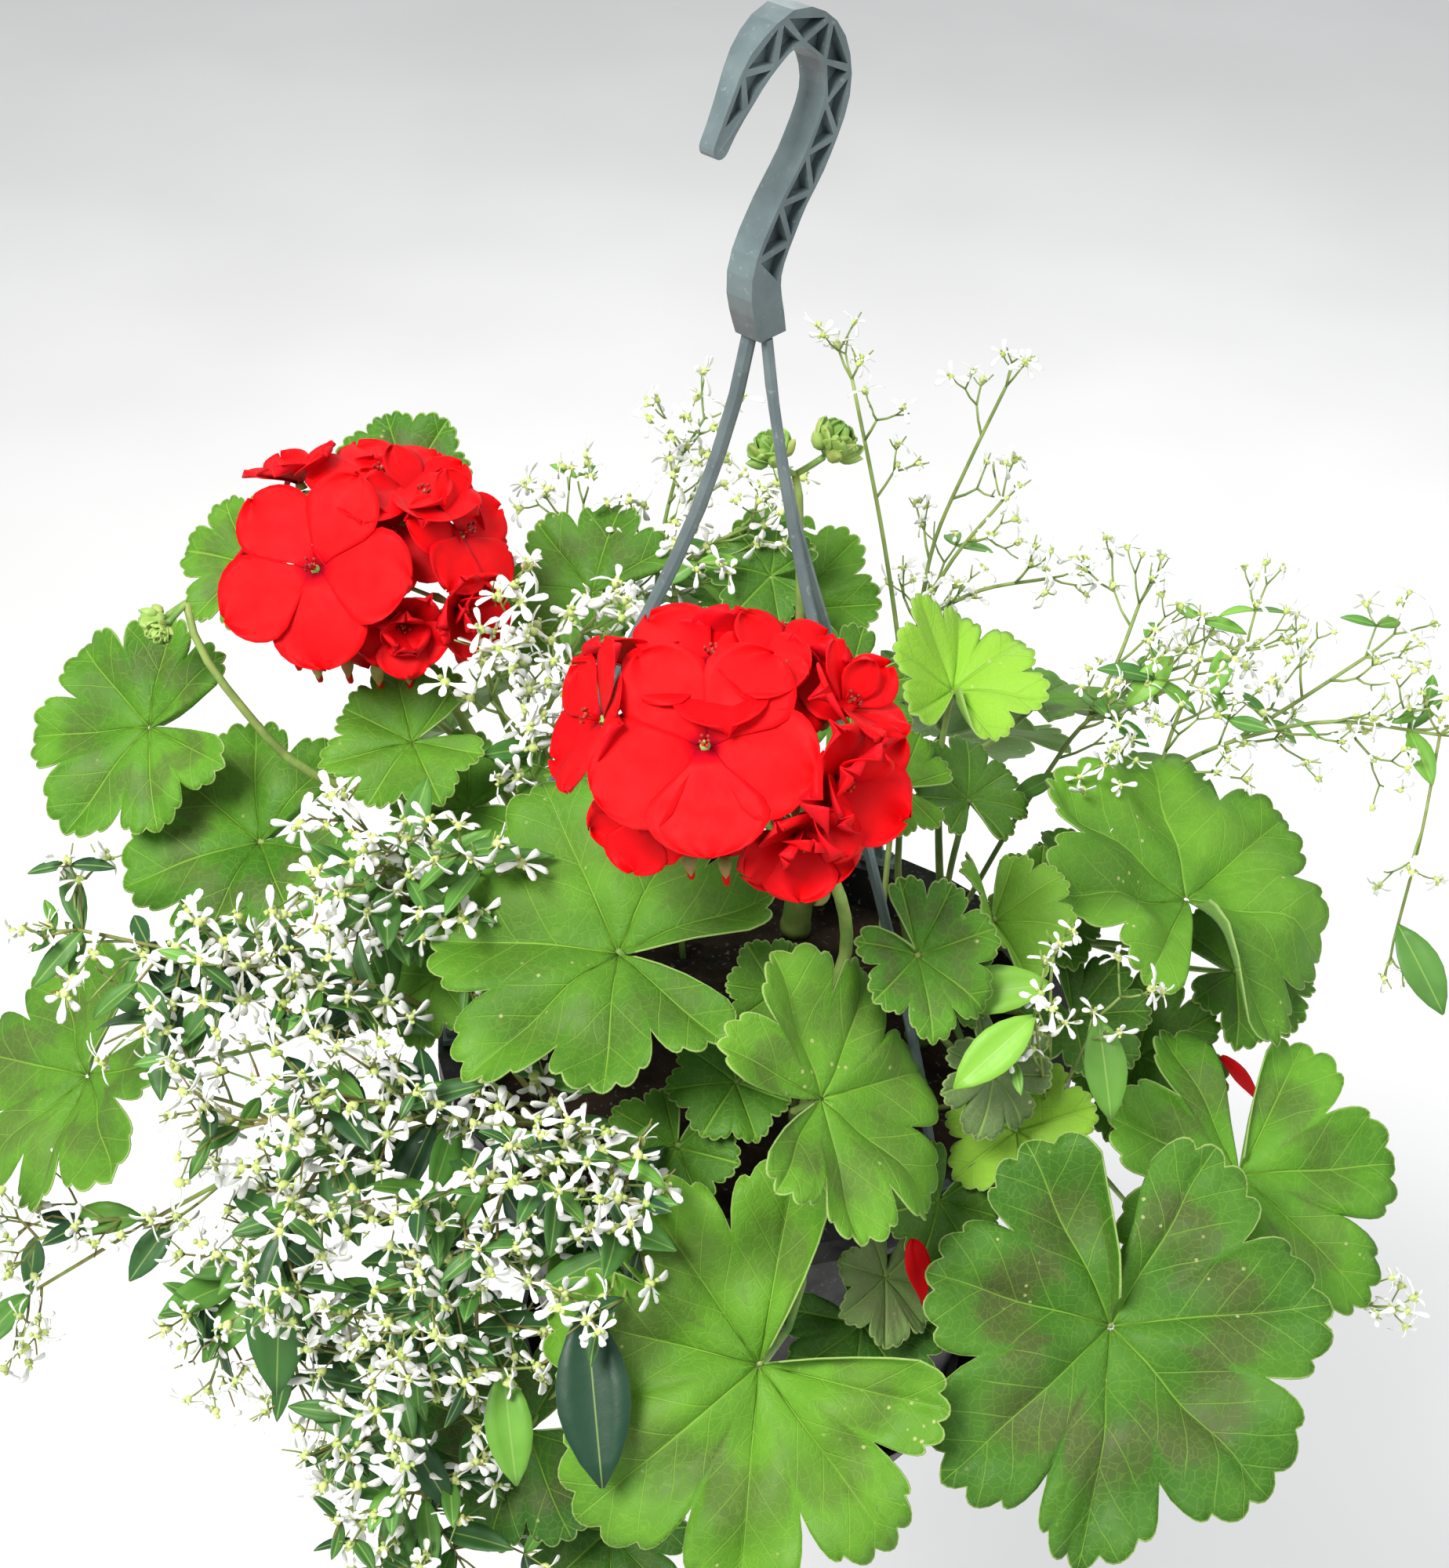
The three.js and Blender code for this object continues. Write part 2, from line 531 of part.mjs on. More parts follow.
// Each spray's foot on the soil, the points its main stem passes, and its side shoots, each with
// where it leaves the main stem (as a share of its length) and its tip
const SPRAYS = [
  { foot: [-60, -60], line: [[-92, -110, 10], [-112, -128, -60], [-97, -134, -117]],
    shoots: [[0.6, [-128, -124, -62]], [0.8, [-116, -132, -92]]] },
  { foot: [-66, -52], line: [[-120, -88, 20], [-168, -86, -40], [-178, -88, -72]],
    shoots: [[0.5, [-140, -100, -10]], [0.75, [-148, -108, -64]]] },
  { foot: [-72, -40], line: [[-130, -60, 10], [-200, -62, -36], [-252, -66, -72]],
    shoots: [[0.45, [-186, -60, 20]], [0.7, [-236, -76, -32]]] },
  { foot: [-74, -28], line: [[-120, -44, 50], [-170, -50, 66], [-214, -48, 76]],
    shoots: [[0.5, [-196, -66, 50]], [0.7, [-164, -76, 76]]] },
  { foot: [-52, -50], line: [[-96, -90, 34], [-132, -100, 46], [-160, -96, 36]],
    shoots: [[0.5, [-128, -110, 60]], [0.75, [-150, -116, 0]]] },
  { foot: [-44, -58], line: [[-68, -100, 34], [-84, -122, 6], [-86, -128, -28]],
    shoots: [[0.5, [-102, -124, 30]], [0.7, [-112, -130, -10]]] },
  { foot: [-34, -80], line: [[-42, -112, 14], [-46, -130, 30], [-34, -140, 12]],
    shoots: [[0.6, [-62, -132, 50]], [0.8, [-36, -132, 44]]] },
  { foot: [-58, -14], line: [[-86, -24, 50], [-104, -42, 90], [-120, -44, 112]],
    shoots: [[0.6, [-84, -58, 110]], [0.75, [-140, -58, 100]]] },
  { foot: [-40, 14], line: [[-62, 18, 70], [-74, 22, 110], [-84, 30, 146]],
    shoots: [[0.6, [-86, 12, 124]], [0.75, [-58, 34, 136]]] },
  { foot: [-26, 44], line: [[-34, 74, 70], [-36, 96, 120], [-26, 108, 164]],
    shoots: [[0.6, [-66, 96, 142]], [0.78, [-2, 88, 146]]] },
  { foot: [44, 46], line: [[52, 88, 70], [60, 112, 120], [84, 124, 180]],
    shoots: [[0.42, [31, 114, 188]], [0.5, [84, 112, 142]], [0.6, [102, 104, 116]]] },
  { foot: [62, 34], line: [[92, 62, 60], [118, 78, 96], [130, 92, 124]],
    shoots: [[0.5, [112, 44, 76]], [0.7, [166, 76, 116]]] },
  { foot: [70, 20], line: [[120, 44, 56], [174, 58, 86], [206, 62, 110]],
    shoots: [[0.55, [150, 66, 100]], [0.7, [230, 42, 92]]] },
  { foot: [62, -33], line: [[97, -67, 16], [148, -65, -50], [194, -75, -50]],
    shoots: [[0.6, [146, -59, -28]]] },
];

const SPRAY_STEPS = 7;
const SPRAY_RADIUS = 1.3;
const SHOOT_RADIUS = 1;

function spray({ foot, line, shoots }, nudge) {
  const root = new THREE.Vector3(...foot, soilTopAt(Math.hypot(...foot)) + 3 * GAP);
  const points = upright([root, ...line.map((point) => vector(point).add(nudge))]);
  if (points[2].z < 2 * RIM_CLEARANCE) points.splice(2, 0, ...overRim(root, points[2]));
  const curve = new THREE.CatmullRomCurve3(points, false, "centripetal");
  let solid = tube(points, SPRAY_RADIUS, 5, SPRAY_STEPS);
  for (const [share, tip] of shoots) {
    const fork = curve.getPointAt(Math.round(share * SPRAY_STEPS) / SPRAY_STEPS);
    const end = vector(tip).add(nudge);
    const elbow = fork.clone().lerp(end, 0.5);
    elbow.z += 0.1 * fork.distanceTo(end);
    solid = solid.add(tube([fork, elbow, end], SHOOT_RADIUS, 5, 2));
  }
  return solid;
}

function* sprayWays(spec) {
  for (const radius of [0, 3, 6, 9, 12, 16, 20]) {
    for (let i = 0; i < (radius ? 8 : 1); i += 1) {
      const nudge = onCircle(radius, 45 * i, i % 2 ? 0.5 * radius : -0.3 * radius);
      yield () => spray(spec, nudge);
    }
  }
}

// ---------------------------------------------------------------- the basket

const twoDigits = (i) => String(i + 1).padStart(2, "0");

place("pot", "pot", pot());
place("saucer", "pot", saucer());
place("soil", "soil", soil());
place("hanger_hook", "hanger", hook());
for (const [side, azimuth] of Object.entries(STRAND_AZIMUTHS)) {
  place(`hanger_strand_${side}`, "hanger", strand(azimuth));
}
for (const [side, crown] of Object.entries(CROWNS)) {
  placeFirstClear(`geranium_stem_${side}`, "stem", [() => crownStem(crown)]);
}
for (const [name, spec] of Object.entries(HEADS)) {
  placeFirstClear(name, spec.slot, headWays(spec, CROWNS[spec.crown]));
}
LEAVES.forEach((leaf, i) => {
  placeFirstClear(`geranium_leaf_${twoDigits(i)}`, "leaf", leafWays(leaf, CROWNS[leaf.crown]));
});
SPRAYS.forEach((spec, i) => {
  placeFirstClear(`spurge_spray_${twoDigits(i)}`, "spurge", sprayWays(spec));
});
for (const [name, [at, lean, toward]] of Object.entries(PETALS)) {
  const lifts = [0, 2, 4, 6, 8, 11, 14, 18, 22, -3, -6, -9];
  placeFirstClear(name, "flower", lifts.map((lift) => () => fallenPetal(at, lean, toward, lift)));
}

const basket = new THREE.Group();
basket.name = "mixed_hanging_basket";
const hookWay = new THREE.Vector3(Math.cos(HOOK_TURN), Math.sin(HOOK_TURN), 0);
const seat = hookWay.multiplyScalar(HOOK_SEAT.across);
basket.position.set(-seat.x, -seat.y, -(HUB_HEIGHT + HOOK_SEAT.up));
for (const { name, slot, solid } of placed) {
  const mesh = new THREE.Mesh(geometryOf(solid), materials[slot]);
  mesh.name = name;
  basket.add(mesh);
}

export default basket;
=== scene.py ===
"""A mixed hanging basket: red geraniums and white spurge in a black pot on a moulded hanger.

Each leaf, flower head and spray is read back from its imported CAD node, and a finished piece with real
leaf, petal and stem shapes is built in its place. What only the looks have, such as young leaves and
single spurge leaves, is placed from the middle of the pot's rim.
"""

import math

import bpy
import numpy as np
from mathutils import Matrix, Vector, noise
from mathutils.bvhtree import BVHTree


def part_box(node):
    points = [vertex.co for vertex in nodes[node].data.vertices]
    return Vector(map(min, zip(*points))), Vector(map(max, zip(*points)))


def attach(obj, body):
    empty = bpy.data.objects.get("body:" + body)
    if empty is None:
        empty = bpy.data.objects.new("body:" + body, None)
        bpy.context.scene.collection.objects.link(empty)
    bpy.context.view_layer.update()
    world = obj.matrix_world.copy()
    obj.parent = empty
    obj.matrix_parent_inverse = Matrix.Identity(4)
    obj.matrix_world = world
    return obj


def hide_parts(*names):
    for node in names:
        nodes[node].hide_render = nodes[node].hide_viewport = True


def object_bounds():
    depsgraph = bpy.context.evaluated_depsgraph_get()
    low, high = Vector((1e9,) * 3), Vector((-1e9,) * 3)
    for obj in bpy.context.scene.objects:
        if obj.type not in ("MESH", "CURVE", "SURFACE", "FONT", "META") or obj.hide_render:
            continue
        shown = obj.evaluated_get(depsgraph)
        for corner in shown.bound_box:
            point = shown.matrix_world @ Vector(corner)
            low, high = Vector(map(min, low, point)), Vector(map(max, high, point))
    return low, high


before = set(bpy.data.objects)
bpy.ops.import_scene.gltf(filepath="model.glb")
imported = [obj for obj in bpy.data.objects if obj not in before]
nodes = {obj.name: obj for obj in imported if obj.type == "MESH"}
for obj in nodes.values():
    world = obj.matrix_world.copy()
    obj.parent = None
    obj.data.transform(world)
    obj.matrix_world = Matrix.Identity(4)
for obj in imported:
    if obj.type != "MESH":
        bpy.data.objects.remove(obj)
cad_low, cad_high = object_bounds()

MM = 0.001
BODY = "root"
SEEDS = {"leaf": 7, "bloom": 7, "flower": 107, "bud": 207, "petal": 307, "stem": 407, "spurge": 507}

# How the CAD nodes were drawn, which is how they are read back
CAD_LEAF_THICK = 1.2 * MM
CAD_STALK_GAP = 2.6 * MM
CAD_BALL_GAP = 3 * MM
CAD_STEM_GAP = 5.2 * MM
CAD_SPRAY_GAP = 1.9 * MM
CAD_TIP_REACH = 0.56
CAD_NOTCH_REACH = 0.135

# Real thicknesses and sizes of the growing parts
LEAF_THICK = 0.55 * MM
PETAL_THICK = 0.35 * MM
BRACT_THICK = 0.3 * MM
SMALL_LEAF_THICK = 0.4 * MM
THICKEST_STEM = 5.2 * MM
LONG_SIDE_STEM = 18 * MM
BLOOM_CELL = 10 * MM
BIG_LEAF = 60 * MM
LOBES = 7
TEETH = 5
TOOTH_DEPTH = 0.055
VEIN_GAP_MM = 12.5
SOIL_RINGS = 40
SOIL_SIDES = 150
SOIL_SLOPE = 8 * MM
SOIL_LUMPS = 160
SOIL_CRUMBS = 420

# The big front leaves, which no bloom this near may hide, and the hard parts that twigs keep clear of
HIDING_REACH = 90 * MM
OPEN_LEAVES = [f"geranium_leaf_{number:02d}" for number in range(1, 13)]
HARD_PARTS = [
    "pot", "hanger_hook", "hanger_strand_left", "hanger_strand_right", "hanger_strand_back",
    "flower_head_front", "flower_head_left",
]


def source(kind, index=0):
    """Random numbers of its own for each piece, the same on every run."""
    return np.random.default_rng(SEEDS[kind] + index)


# ---------------------------------------------------------------- vectors

def unit(v):
    v = np.asarray(v, float)
    return v / max(np.linalg.norm(v), 1e-12)


def smooth(low, high, x):
    t = np.clip((np.asarray(x, float) - low) / (high - low), 0, 1)
    return t * t * (3 - 2 * t)


def basis(up, forward):
    """Columns across, forward, up: a right-handed frame whose up is kept exactly."""
    up = unit(up)
    forward = unit(np.asarray(forward, float) - np.dot(forward, up) * up)
    return np.stack([np.cross(forward, up), forward, up], axis=1)


def any_across(direction):
    """Some direction square to this one."""
    spare = (0, 0, 1) if abs(direction[2]) < 0.8 else (1, 0, 0)
    return unit(np.cross(direction, spare))


def about_x(angle):
    """The matrix of a turn about X."""
    c, s = math.cos(angle), math.sin(angle)
    return np.array([[1, 0, 0], [0, c, -s], [0, s, c]])


def about_z(angle):
    """The matrix of a turn about Z."""
    c, s = math.cos(angle), math.sin(angle)
    return np.array([[c, -s, 0], [s, c, 0], [0, 0, 1]])


def panned(pan, tilt):
    """A direction turned this many degrees to the right and up from straight at the eye."""
    pan, tilt = math.radians(pan), math.radians(tilt)
    return np.array([math.sin(pan) * math.cos(tilt), math.sin(tilt), math.cos(pan) * math.cos(tilt)])


def turned(v, axis, angle):
    """v turned about a unit axis."""
    v, axis = np.asarray(v, float), np.asarray(axis, float)
    along = np.dot(v, axis) * axis
    return along + (v - along) * math.cos(angle) + np.cross(axis, v) * math.sin(angle)


# ---------------------------------------------------------------- meshes

def part(points, faces, material, **values):
    """One piece of a mesh: points, faces of one size, a material, and numbers per point."""
    points = np.asarray(points, float).reshape(-1, 3)
    values = {k: np.broadcast_to(np.asarray(v, float), len(points)) for k, v in values.items()}
    return {"points": points, "faces": np.asarray(faces, int), "material": material, "values": values}


def moved(one, matrix, at, scale=1.0):
    """A copy of a part, scaled, turned by a 3x3 matrix and moved."""
    return {**one, "points": (one["points"] * scale) @ np.asarray(matrix).T + np.asarray(at)}


def mesh_piece(name, parts, materials, stands_for=()):
    """Joins parts into one smooth-shaded piece that rides on the basket."""
    mesh = bpy.data.meshes.new(name)
    points = np.concatenate([p["points"] for p in parts])
    starts = np.cumsum([0] + [len(p["points"]) for p in parts])
    corners = np.concatenate([(p["faces"] + s).ravel() for p, s in zip(parts, starts)])
    sizes = np.concatenate([np.full(len(p["faces"]), p["faces"].shape[1]) for p in parts])
    slots = np.concatenate([np.full(len(p["faces"]), materials.index(p["material"])) for p in parts])
    mesh.vertices.add(len(points))
    mesh.vertices.foreach_set("co", points.ravel())
    mesh.loops.add(len(corners))
    mesh.loops.foreach_set("vertex_index", corners)
    mesh.polygons.add(len(sizes))
    mesh.polygons.foreach_set("loop_start", np.cumsum(sizes) - sizes)
    mesh.polygons.foreach_set("material_index", slots)
    mesh.polygons.foreach_set("use_smooth", np.ones(len(sizes), bool))
    for key in sorted({k for p in parts for k in p["values"]}):
        layer = mesh.attributes.new(key, "FLOAT", "POINT")
        numbers = [p["values"].get(key, np.zeros(len(p["points"]))) for p in parts]
        layer.data.foreach_set("value", np.concatenate(numbers))
    mesh.update(calc_edges=True)
    mesh.validate()
    for material in materials:
        mesh.materials.append(material)
    piece = bpy.data.objects.new(name, mesh)
    bpy.context.scene.collection.objects.link(piece)
    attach(piece, BODY)
    if stands_for:
        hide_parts(*stands_for)
    return piece


def grid_faces(rows, cols, start=0, flip=False):
    index = np.arange(rows * cols).reshape(rows, cols) + start
    quads = np.stack([index[:-1, :-1], index[:-1, 1:], index[1:, 1:], index[1:, :-1]], axis=-1)
    quads = quads.reshape(-1, 4)
    return quads[:, ::-1] if flip else quads


def sheet(grid, thick, material, **values):
    """A closed thin sheet around a grid of points, whose upper side faces rows x columns."""
    rows, cols = grid.shape[:2]
    along, across = np.gradient(grid, axis=0), np.gradient(grid, axis=1)
    normal = np.cross(across, along)
    normal /= np.maximum(np.linalg.norm(normal, axis=2, keepdims=True), 1e-12)
    count = rows * cols
    points = np.concatenate([(grid + normal * thick / 2).reshape(-1, 3),
                             (grid - normal * thick / 2).reshape(-1, 3)])
    index = np.arange(count).reshape(rows, cols)
    border = np.concatenate([index[0, :-1], index[:-1, -1], index[-1, :0:-1], index[:0:-1, 0]])
    after = np.roll(border, -1)
    rim = np.stack([border, border + count, after + count, after], axis=1)
    faces = np.concatenate([grid_faces(rows, cols), grid_faces(rows, cols, count, True), rim])
    both = {k: np.tile(np.broadcast_to(v, (rows, cols)).ravel(), 2) for k, v in values.items()}
    both["upper"] = np.repeat([1.0, 0.0], count)
    return part(points, faces, material, **both)


def tube(line, radii, sides, material, **values):
    """A closed tube along a line of points, with an even number of sides."""
    sides += sides % 2
    line = np.asarray(line, float)
    radii = np.broadcast_to(radii, len(line))
    along = np.gradient(line, axis=0)
    across = any_across(unit(along[0]))
    rings = []
    angles = np.arange(sides) * 2 * math.pi / sides
    for point, direction, radius in zip(line, along, radii):
        direction = unit(direction)
        across = unit(across - np.dot(across, direction) * direction)
        other = np.cross(direction, across)
        rings.append(point + radius * (np.outer(np.cos(angles), across)
                                       + np.outer(np.sin(angles), other)))
    count = len(line)
    index = np.arange(count * sides).reshape(count, sides)
    nearer, further = index[:-1], index[1:]
    walls = np.stack([nearer, np.roll(nearer, -1, 1), np.roll(further, -1, 1), further], axis=-1)
    ends = [[0, sides - 1 - k, sides - 2 - k, sides - 3 - k] for k in range(0, sides - 2, 2)]
    last = (count - 1) * sides
    caps = [[last, last + k + 1, last + k + 2, last + k + 3] for k in range(0, sides - 2, 2)]
    faces = np.concatenate([walls.reshape(-1, 4), ends, caps])
    return part(np.concatenate(rings), faces, material, **values)


def lathe(profile, sides, material, **values):
    """A closed solid of revolution about Z; the profile's ends are small enough to cap flat."""
    return tube([(0, 0, z) for _, z in profile], [r for r, _ in profile], sides, material, **values)


def curve_through(points, steps):
    """Evenly spaced points on a smooth Catmull-Rom line through these points."""
    points = np.asarray(points, float)
    padded = np.concatenate([[2 * points[0] - points[1]], points, [2 * points[-1] - points[-2]]])
    line = []
    for a, b, c, d in zip(padded, padded[1:], padded[2:], padded[3:]):
        for t in np.linspace(0, 1, 8, endpoint=False):
            line.append(0.5 * (2 * b + (c - a) * t + (2 * a - 5 * b + 4 * c - d) * t ** 2
                               + (3 * b - a - 3 * c + d) * t ** 3))
    line = np.array(line + [points[-1]])
    lengths = np.concatenate([[0], np.cumsum(np.linalg.norm(np.diff(line, axis=0), axis=1))])
    at = np.linspace(0, lengths[-1], steps + 1)
    return np.stack([np.interp(at, lengths, line[:, k]) for k in range(3)], axis=1)


# ---------------------------------------------------------------- reading the CAD nodes

def welded(name):
    """A CAD node's corner points, each once, and the edges between them."""
    mesh = nodes[name].data
    points = np.array([v.co for v in mesh.vertices])
    keys, index = np.unique(np.round(points, 5), axis=0, return_inverse=True)
    index = index.ravel()
    edges = index[np.array([e.vertices for e in mesh.edges])]
    return keys, edges[edges[:, 0] != edges[:, 1]]


def named(start):
    """The CAD nodes whose names start so, in order."""
    return sorted(name for name in nodes if name.startswith(start))


def distances(points):
    return np.linalg.norm(points[:, None] - points[None], axis=2)


def grouped(points, reach):
    """A label for each point: points nearer each other than reach, step by step, share one."""
    near = distances(points) < reach
    label = np.arange(len(points))
    while True:
        lowest = np.where(near, label[None], len(points)).min(axis=1)
        if (lowest == label).all():
            return label
        label = lowest


def chained(points, start):
    """The points in order from the one nearest to start, each time to the nearest left."""
    left, line = list(points), [np.asarray(start)]
    while left:
        nearest = min(range(len(left)), key=lambda i: np.linalg.norm(left[i] - line[-1]))
        line.append(left.pop(nearest))
    return line


def ring_centres(points, reach):
    label = grouped(points, reach)
    groups = [points[label == k] for k in np.unique(label)]
    return [g.mean(axis=0) for g in groups if len(g) >= 3]


def leaf_frame(name):
    """A leaf node's stalk end, its frame (across, forward, up), its size and its stalk's line."""
    points, _ = welded(name)
    i, j = np.nonzero(np.triu(np.abs(distances(points) - CAD_LEAF_THICK) < 0.03 * MM, 1))
    ways = points[j] - points[i]
    ways = ways / np.linalg.norm(ways, axis=1, keepdims=True)
    agree = np.abs(ways @ ways.T) > 0.998
    best = agree[agree.sum(axis=1).argmax()]
    up = ways[best.nonzero()[0][0]]
    up = up if up[2] > 0 else -up
    rim = (points[i[best]] + points[j[best]]) / 2
    middle = rim.mean(axis=0)
    order = np.linalg.norm(rim - middle, axis=1).argsort()
    notch = rim[order[1 if len(rim) > 2 * LOBES else 0]]
    tip = rim[np.linalg.norm(rim - notch, axis=1).argmax()]
    size = np.linalg.norm(tip - notch) / (CAD_TIP_REACH + CAD_NOTCH_REACH)
    joint = notch + (tip - notch) * CAD_NOTCH_REACH / (CAD_TIP_REACH + CAD_NOTCH_REACH)
    used = set(i[best]) | set(j[best])
    rest = np.array([p for k, p in enumerate(points) if k not in used])
    stalk = chained(ring_centres(rest, CAD_STALK_GAP), joint)
    return joint, basis(up, tip - notch), size, np.array(stalk)


def head_frame(name):
    """A head node's centre, outward axis, radius and half height, and its stalk's line."""
    points, _ = welded(name)
    gaps = distances(points) + np.eye(len(points))
    lone = gaps.min(axis=1) > CAD_BALL_GAP
    ball, rest = points[lone], points[~lone]
    rings = ring_centres(rest, 1.5 * CAD_BALL_GAP)
    centre = (ball.max(axis=0) + ball.min(axis=0)) / 2
    _, vectors = np.linalg.eigh(np.cov((ball - centre).T))
    axis = vectors[:, 0]
    stalk = np.array(chained(rings, centre))
    axis = axis if np.dot(axis, centre - stalk[-1]) > 0 else -axis
    offsets = ball - centre
    height = np.abs(offsets @ axis).max()
    radius = np.linalg.norm(offsets - np.outer(offsets @ axis, axis), axis=1).max()
    return centre, axis, radius, height, stalk


def spray_lines(name):
    """A spray node's stems as lines of points: the main one from its root, then each shoot."""
    points, edges = welded(name)
    label = grouped(points, CAD_SPRAY_GAP)
    names = np.unique(label)
    centres = np.array([points[label == k].mean(axis=0) for k in names])
    number = {k: i for i, k in enumerate(names)}
    links = {i: set() for i in range(len(names))}
    for a, b in edges:
        a, b = number[label[a]], number[label[b]]
        if a != b:
            links[a].add(b)
            links[b].add(a)
    middle = np.array(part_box("pot")).mean(axis=0)
    root = np.linalg.norm((centres - middle)[:, :2], axis=1).argmin()
    before, order = {root: None}, [root]
    for at in order:
        for to in sorted(links[at], key=lambda i: np.linalg.norm(centres[i] - centres[at])):
            if to not in before:
                before[to] = at
                order.append(to)
    ends = [i for i in order if i not in before.values()]
    lines, used = [], set()
    for end in sorted(ends, key=lambda i: -np.linalg.norm(centres[i] - centres[root])):
        line, at = [end], before[end]
        while at is not None:
            line.append(at)
            if at in used:
                break
            at = before[at]
        used.update(line)
        if len(line) > 1:
            lines.append(centres[line[::-1]])
    return lines


# ---------------------------------------------------------------- materials

def rgb(red, green, blue):
    """A colour given as on a screen, 0 to 255, in linear light."""
    def linear(c):
        c /= 255
        return c / 12.92 if c <= 0.04045 else ((c + 0.055) / 1.055) ** 2.4
    return (linear(red), linear(green), linear(blue), 1.0)


class Shader:
    """A Principled material, with short ways to add the nodes that drive it."""

    def __init__(self, name, roughness=0.5, specular=0.4):
        self.material = bpy.data.materials.new(name)
        self.material.use_nodes = True
        self.tree = self.material.node_tree
        self.bsdf = self.tree.nodes["Principled BSDF"]
        self.bsdf.inputs["Roughness"].default_value = roughness
        self.bsdf.inputs["Specular IOR Level"].default_value = specular

    def put(self, socket, value):
        if isinstance(value, bpy.types.NodeSocket):
            self.tree.links.new(value, socket)
        else:
            socket.default_value = value

    def node(self, kind, output=0, settings=(), **inputs):
        made = self.tree.nodes.new(kind)
        for key, value in dict(settings).items():
            setattr(made, key, value)
        for key, value in inputs.items():
            self.put(made.inputs[key.replace("_", " ")], value)
        return made.outputs[output]

    def value(self, name):
        return self.node("ShaderNodeAttribute", 2, {"attribute_name": name})

    def place(self):
        return self.node("ShaderNodeTexCoord", 3)

    def maths(self, operation, a, b=0.0):
        made = self.tree.nodes.new("ShaderNodeMath")
        made.operation = operation
        self.put(made.inputs[0], a)
        self.put(made.inputs[1], b)
        return made.outputs[0]

    def times(self, a, b):
        return self.maths("MULTIPLY", a, b)

    def ramp(self, value, low, high, start=0.0, end=1.0):
        made = self.tree.nodes.new("ShaderNodeMapRange")
        made.interpolation_type = "SMOOTHSTEP"
        for key, item in (("Value", value), ("From Min", low), ("From Max", high),
                          ("To Min", start), ("To Max", end)):
            self.put(made.inputs[key], item)
        return made.outputs[0]

    def mix(self, share, a, b):
        made = self.tree.nodes.new("ShaderNodeMix")
        made.data_type = "RGBA"
        self.put(made.inputs[0], share)
        self.put(made.inputs[6], a)
        self.put(made.inputs[7], b)
        return made.outputs[2]

    def noise(self, scale, detail=3.0, roughness=0.55):
        return self.node("ShaderNodeTexNoise", 0, Vector=self.place(), Scale=scale, Detail=detail,
                         Roughness=roughness)

    def patches(self, scale, detail, low, high, start=0.0, end=1.0):
        """Soft-edged patches of noise, from start between them to end on them."""
        return self.ramp(self.noise(scale, detail), low, high, start, end)

    def cells(self, scale, feature="F1"):
        return self.node("ShaderNodeTexVoronoi", 0, {"feature": feature}, Vector=self.place(), Scale=scale)

    def bump(self, height, strength, distance):
        normal = self.node("ShaderNodeBump", 0, Strength=strength, Distance=distance, Height=height)
        self.put(self.bsdf.inputs["Normal"], normal)

    def colour(self, colour, roughness=None):
        self.put(self.bsdf.inputs["Base Color"], colour)
        if roughness is not None:
            self.put(self.bsdf.inputs["Roughness"], roughness)
        return self.material


def leaf_veins(s):
    """How much a point of a lobed leaf is on a vein, from its lobe number and its reach in mm."""
    lobe, reach = s.value("lobe"), s.value("reach_mm")
    beside = s.maths("ABSOLUTE", s.maths("SUBTRACT", s.maths("FRACT", s.maths("ADD", lobe, 10.5)), 0.5))
    lateral = s.times(s.times(beside, 0.83), reach)
    wobble = s.times(s.maths("SUBTRACT", s.noise(60, 1), 0.5), 2.4)
    main_width = s.ramp(reach, 3, 60, 0.8, 0.3)
    main = s.ramp(s.maths("ADD", lateral, s.times(wobble, 0.1)), 0.1, main_width, 1, 0)
    along = s.maths("ADD", s.maths("SUBTRACT", reach, s.times(lateral, 1.25)), wobble)
    across = s.maths("FRACT", s.maths("DIVIDE", along, VEIN_GAP_MM))
    branch = s.ramp(s.maths("ABSOLUTE", s.maths("SUBTRACT", across, 0.5)), 0.01, 0.036, 0.7, 0)
    away_from_stalk = s.times(s.ramp(reach, 11, 17), s.ramp(lateral, 11, 17, 1, 0))
    branch = s.times(branch, away_from_stalk)
    fine = s.ramp(s.cells(330, "DISTANCE_TO_EDGE"), 0.0, 0.1, 0.22, 0)
    return s.maths("MAXIMUM", main, s.maths("MAXIMUM", branch, fine))


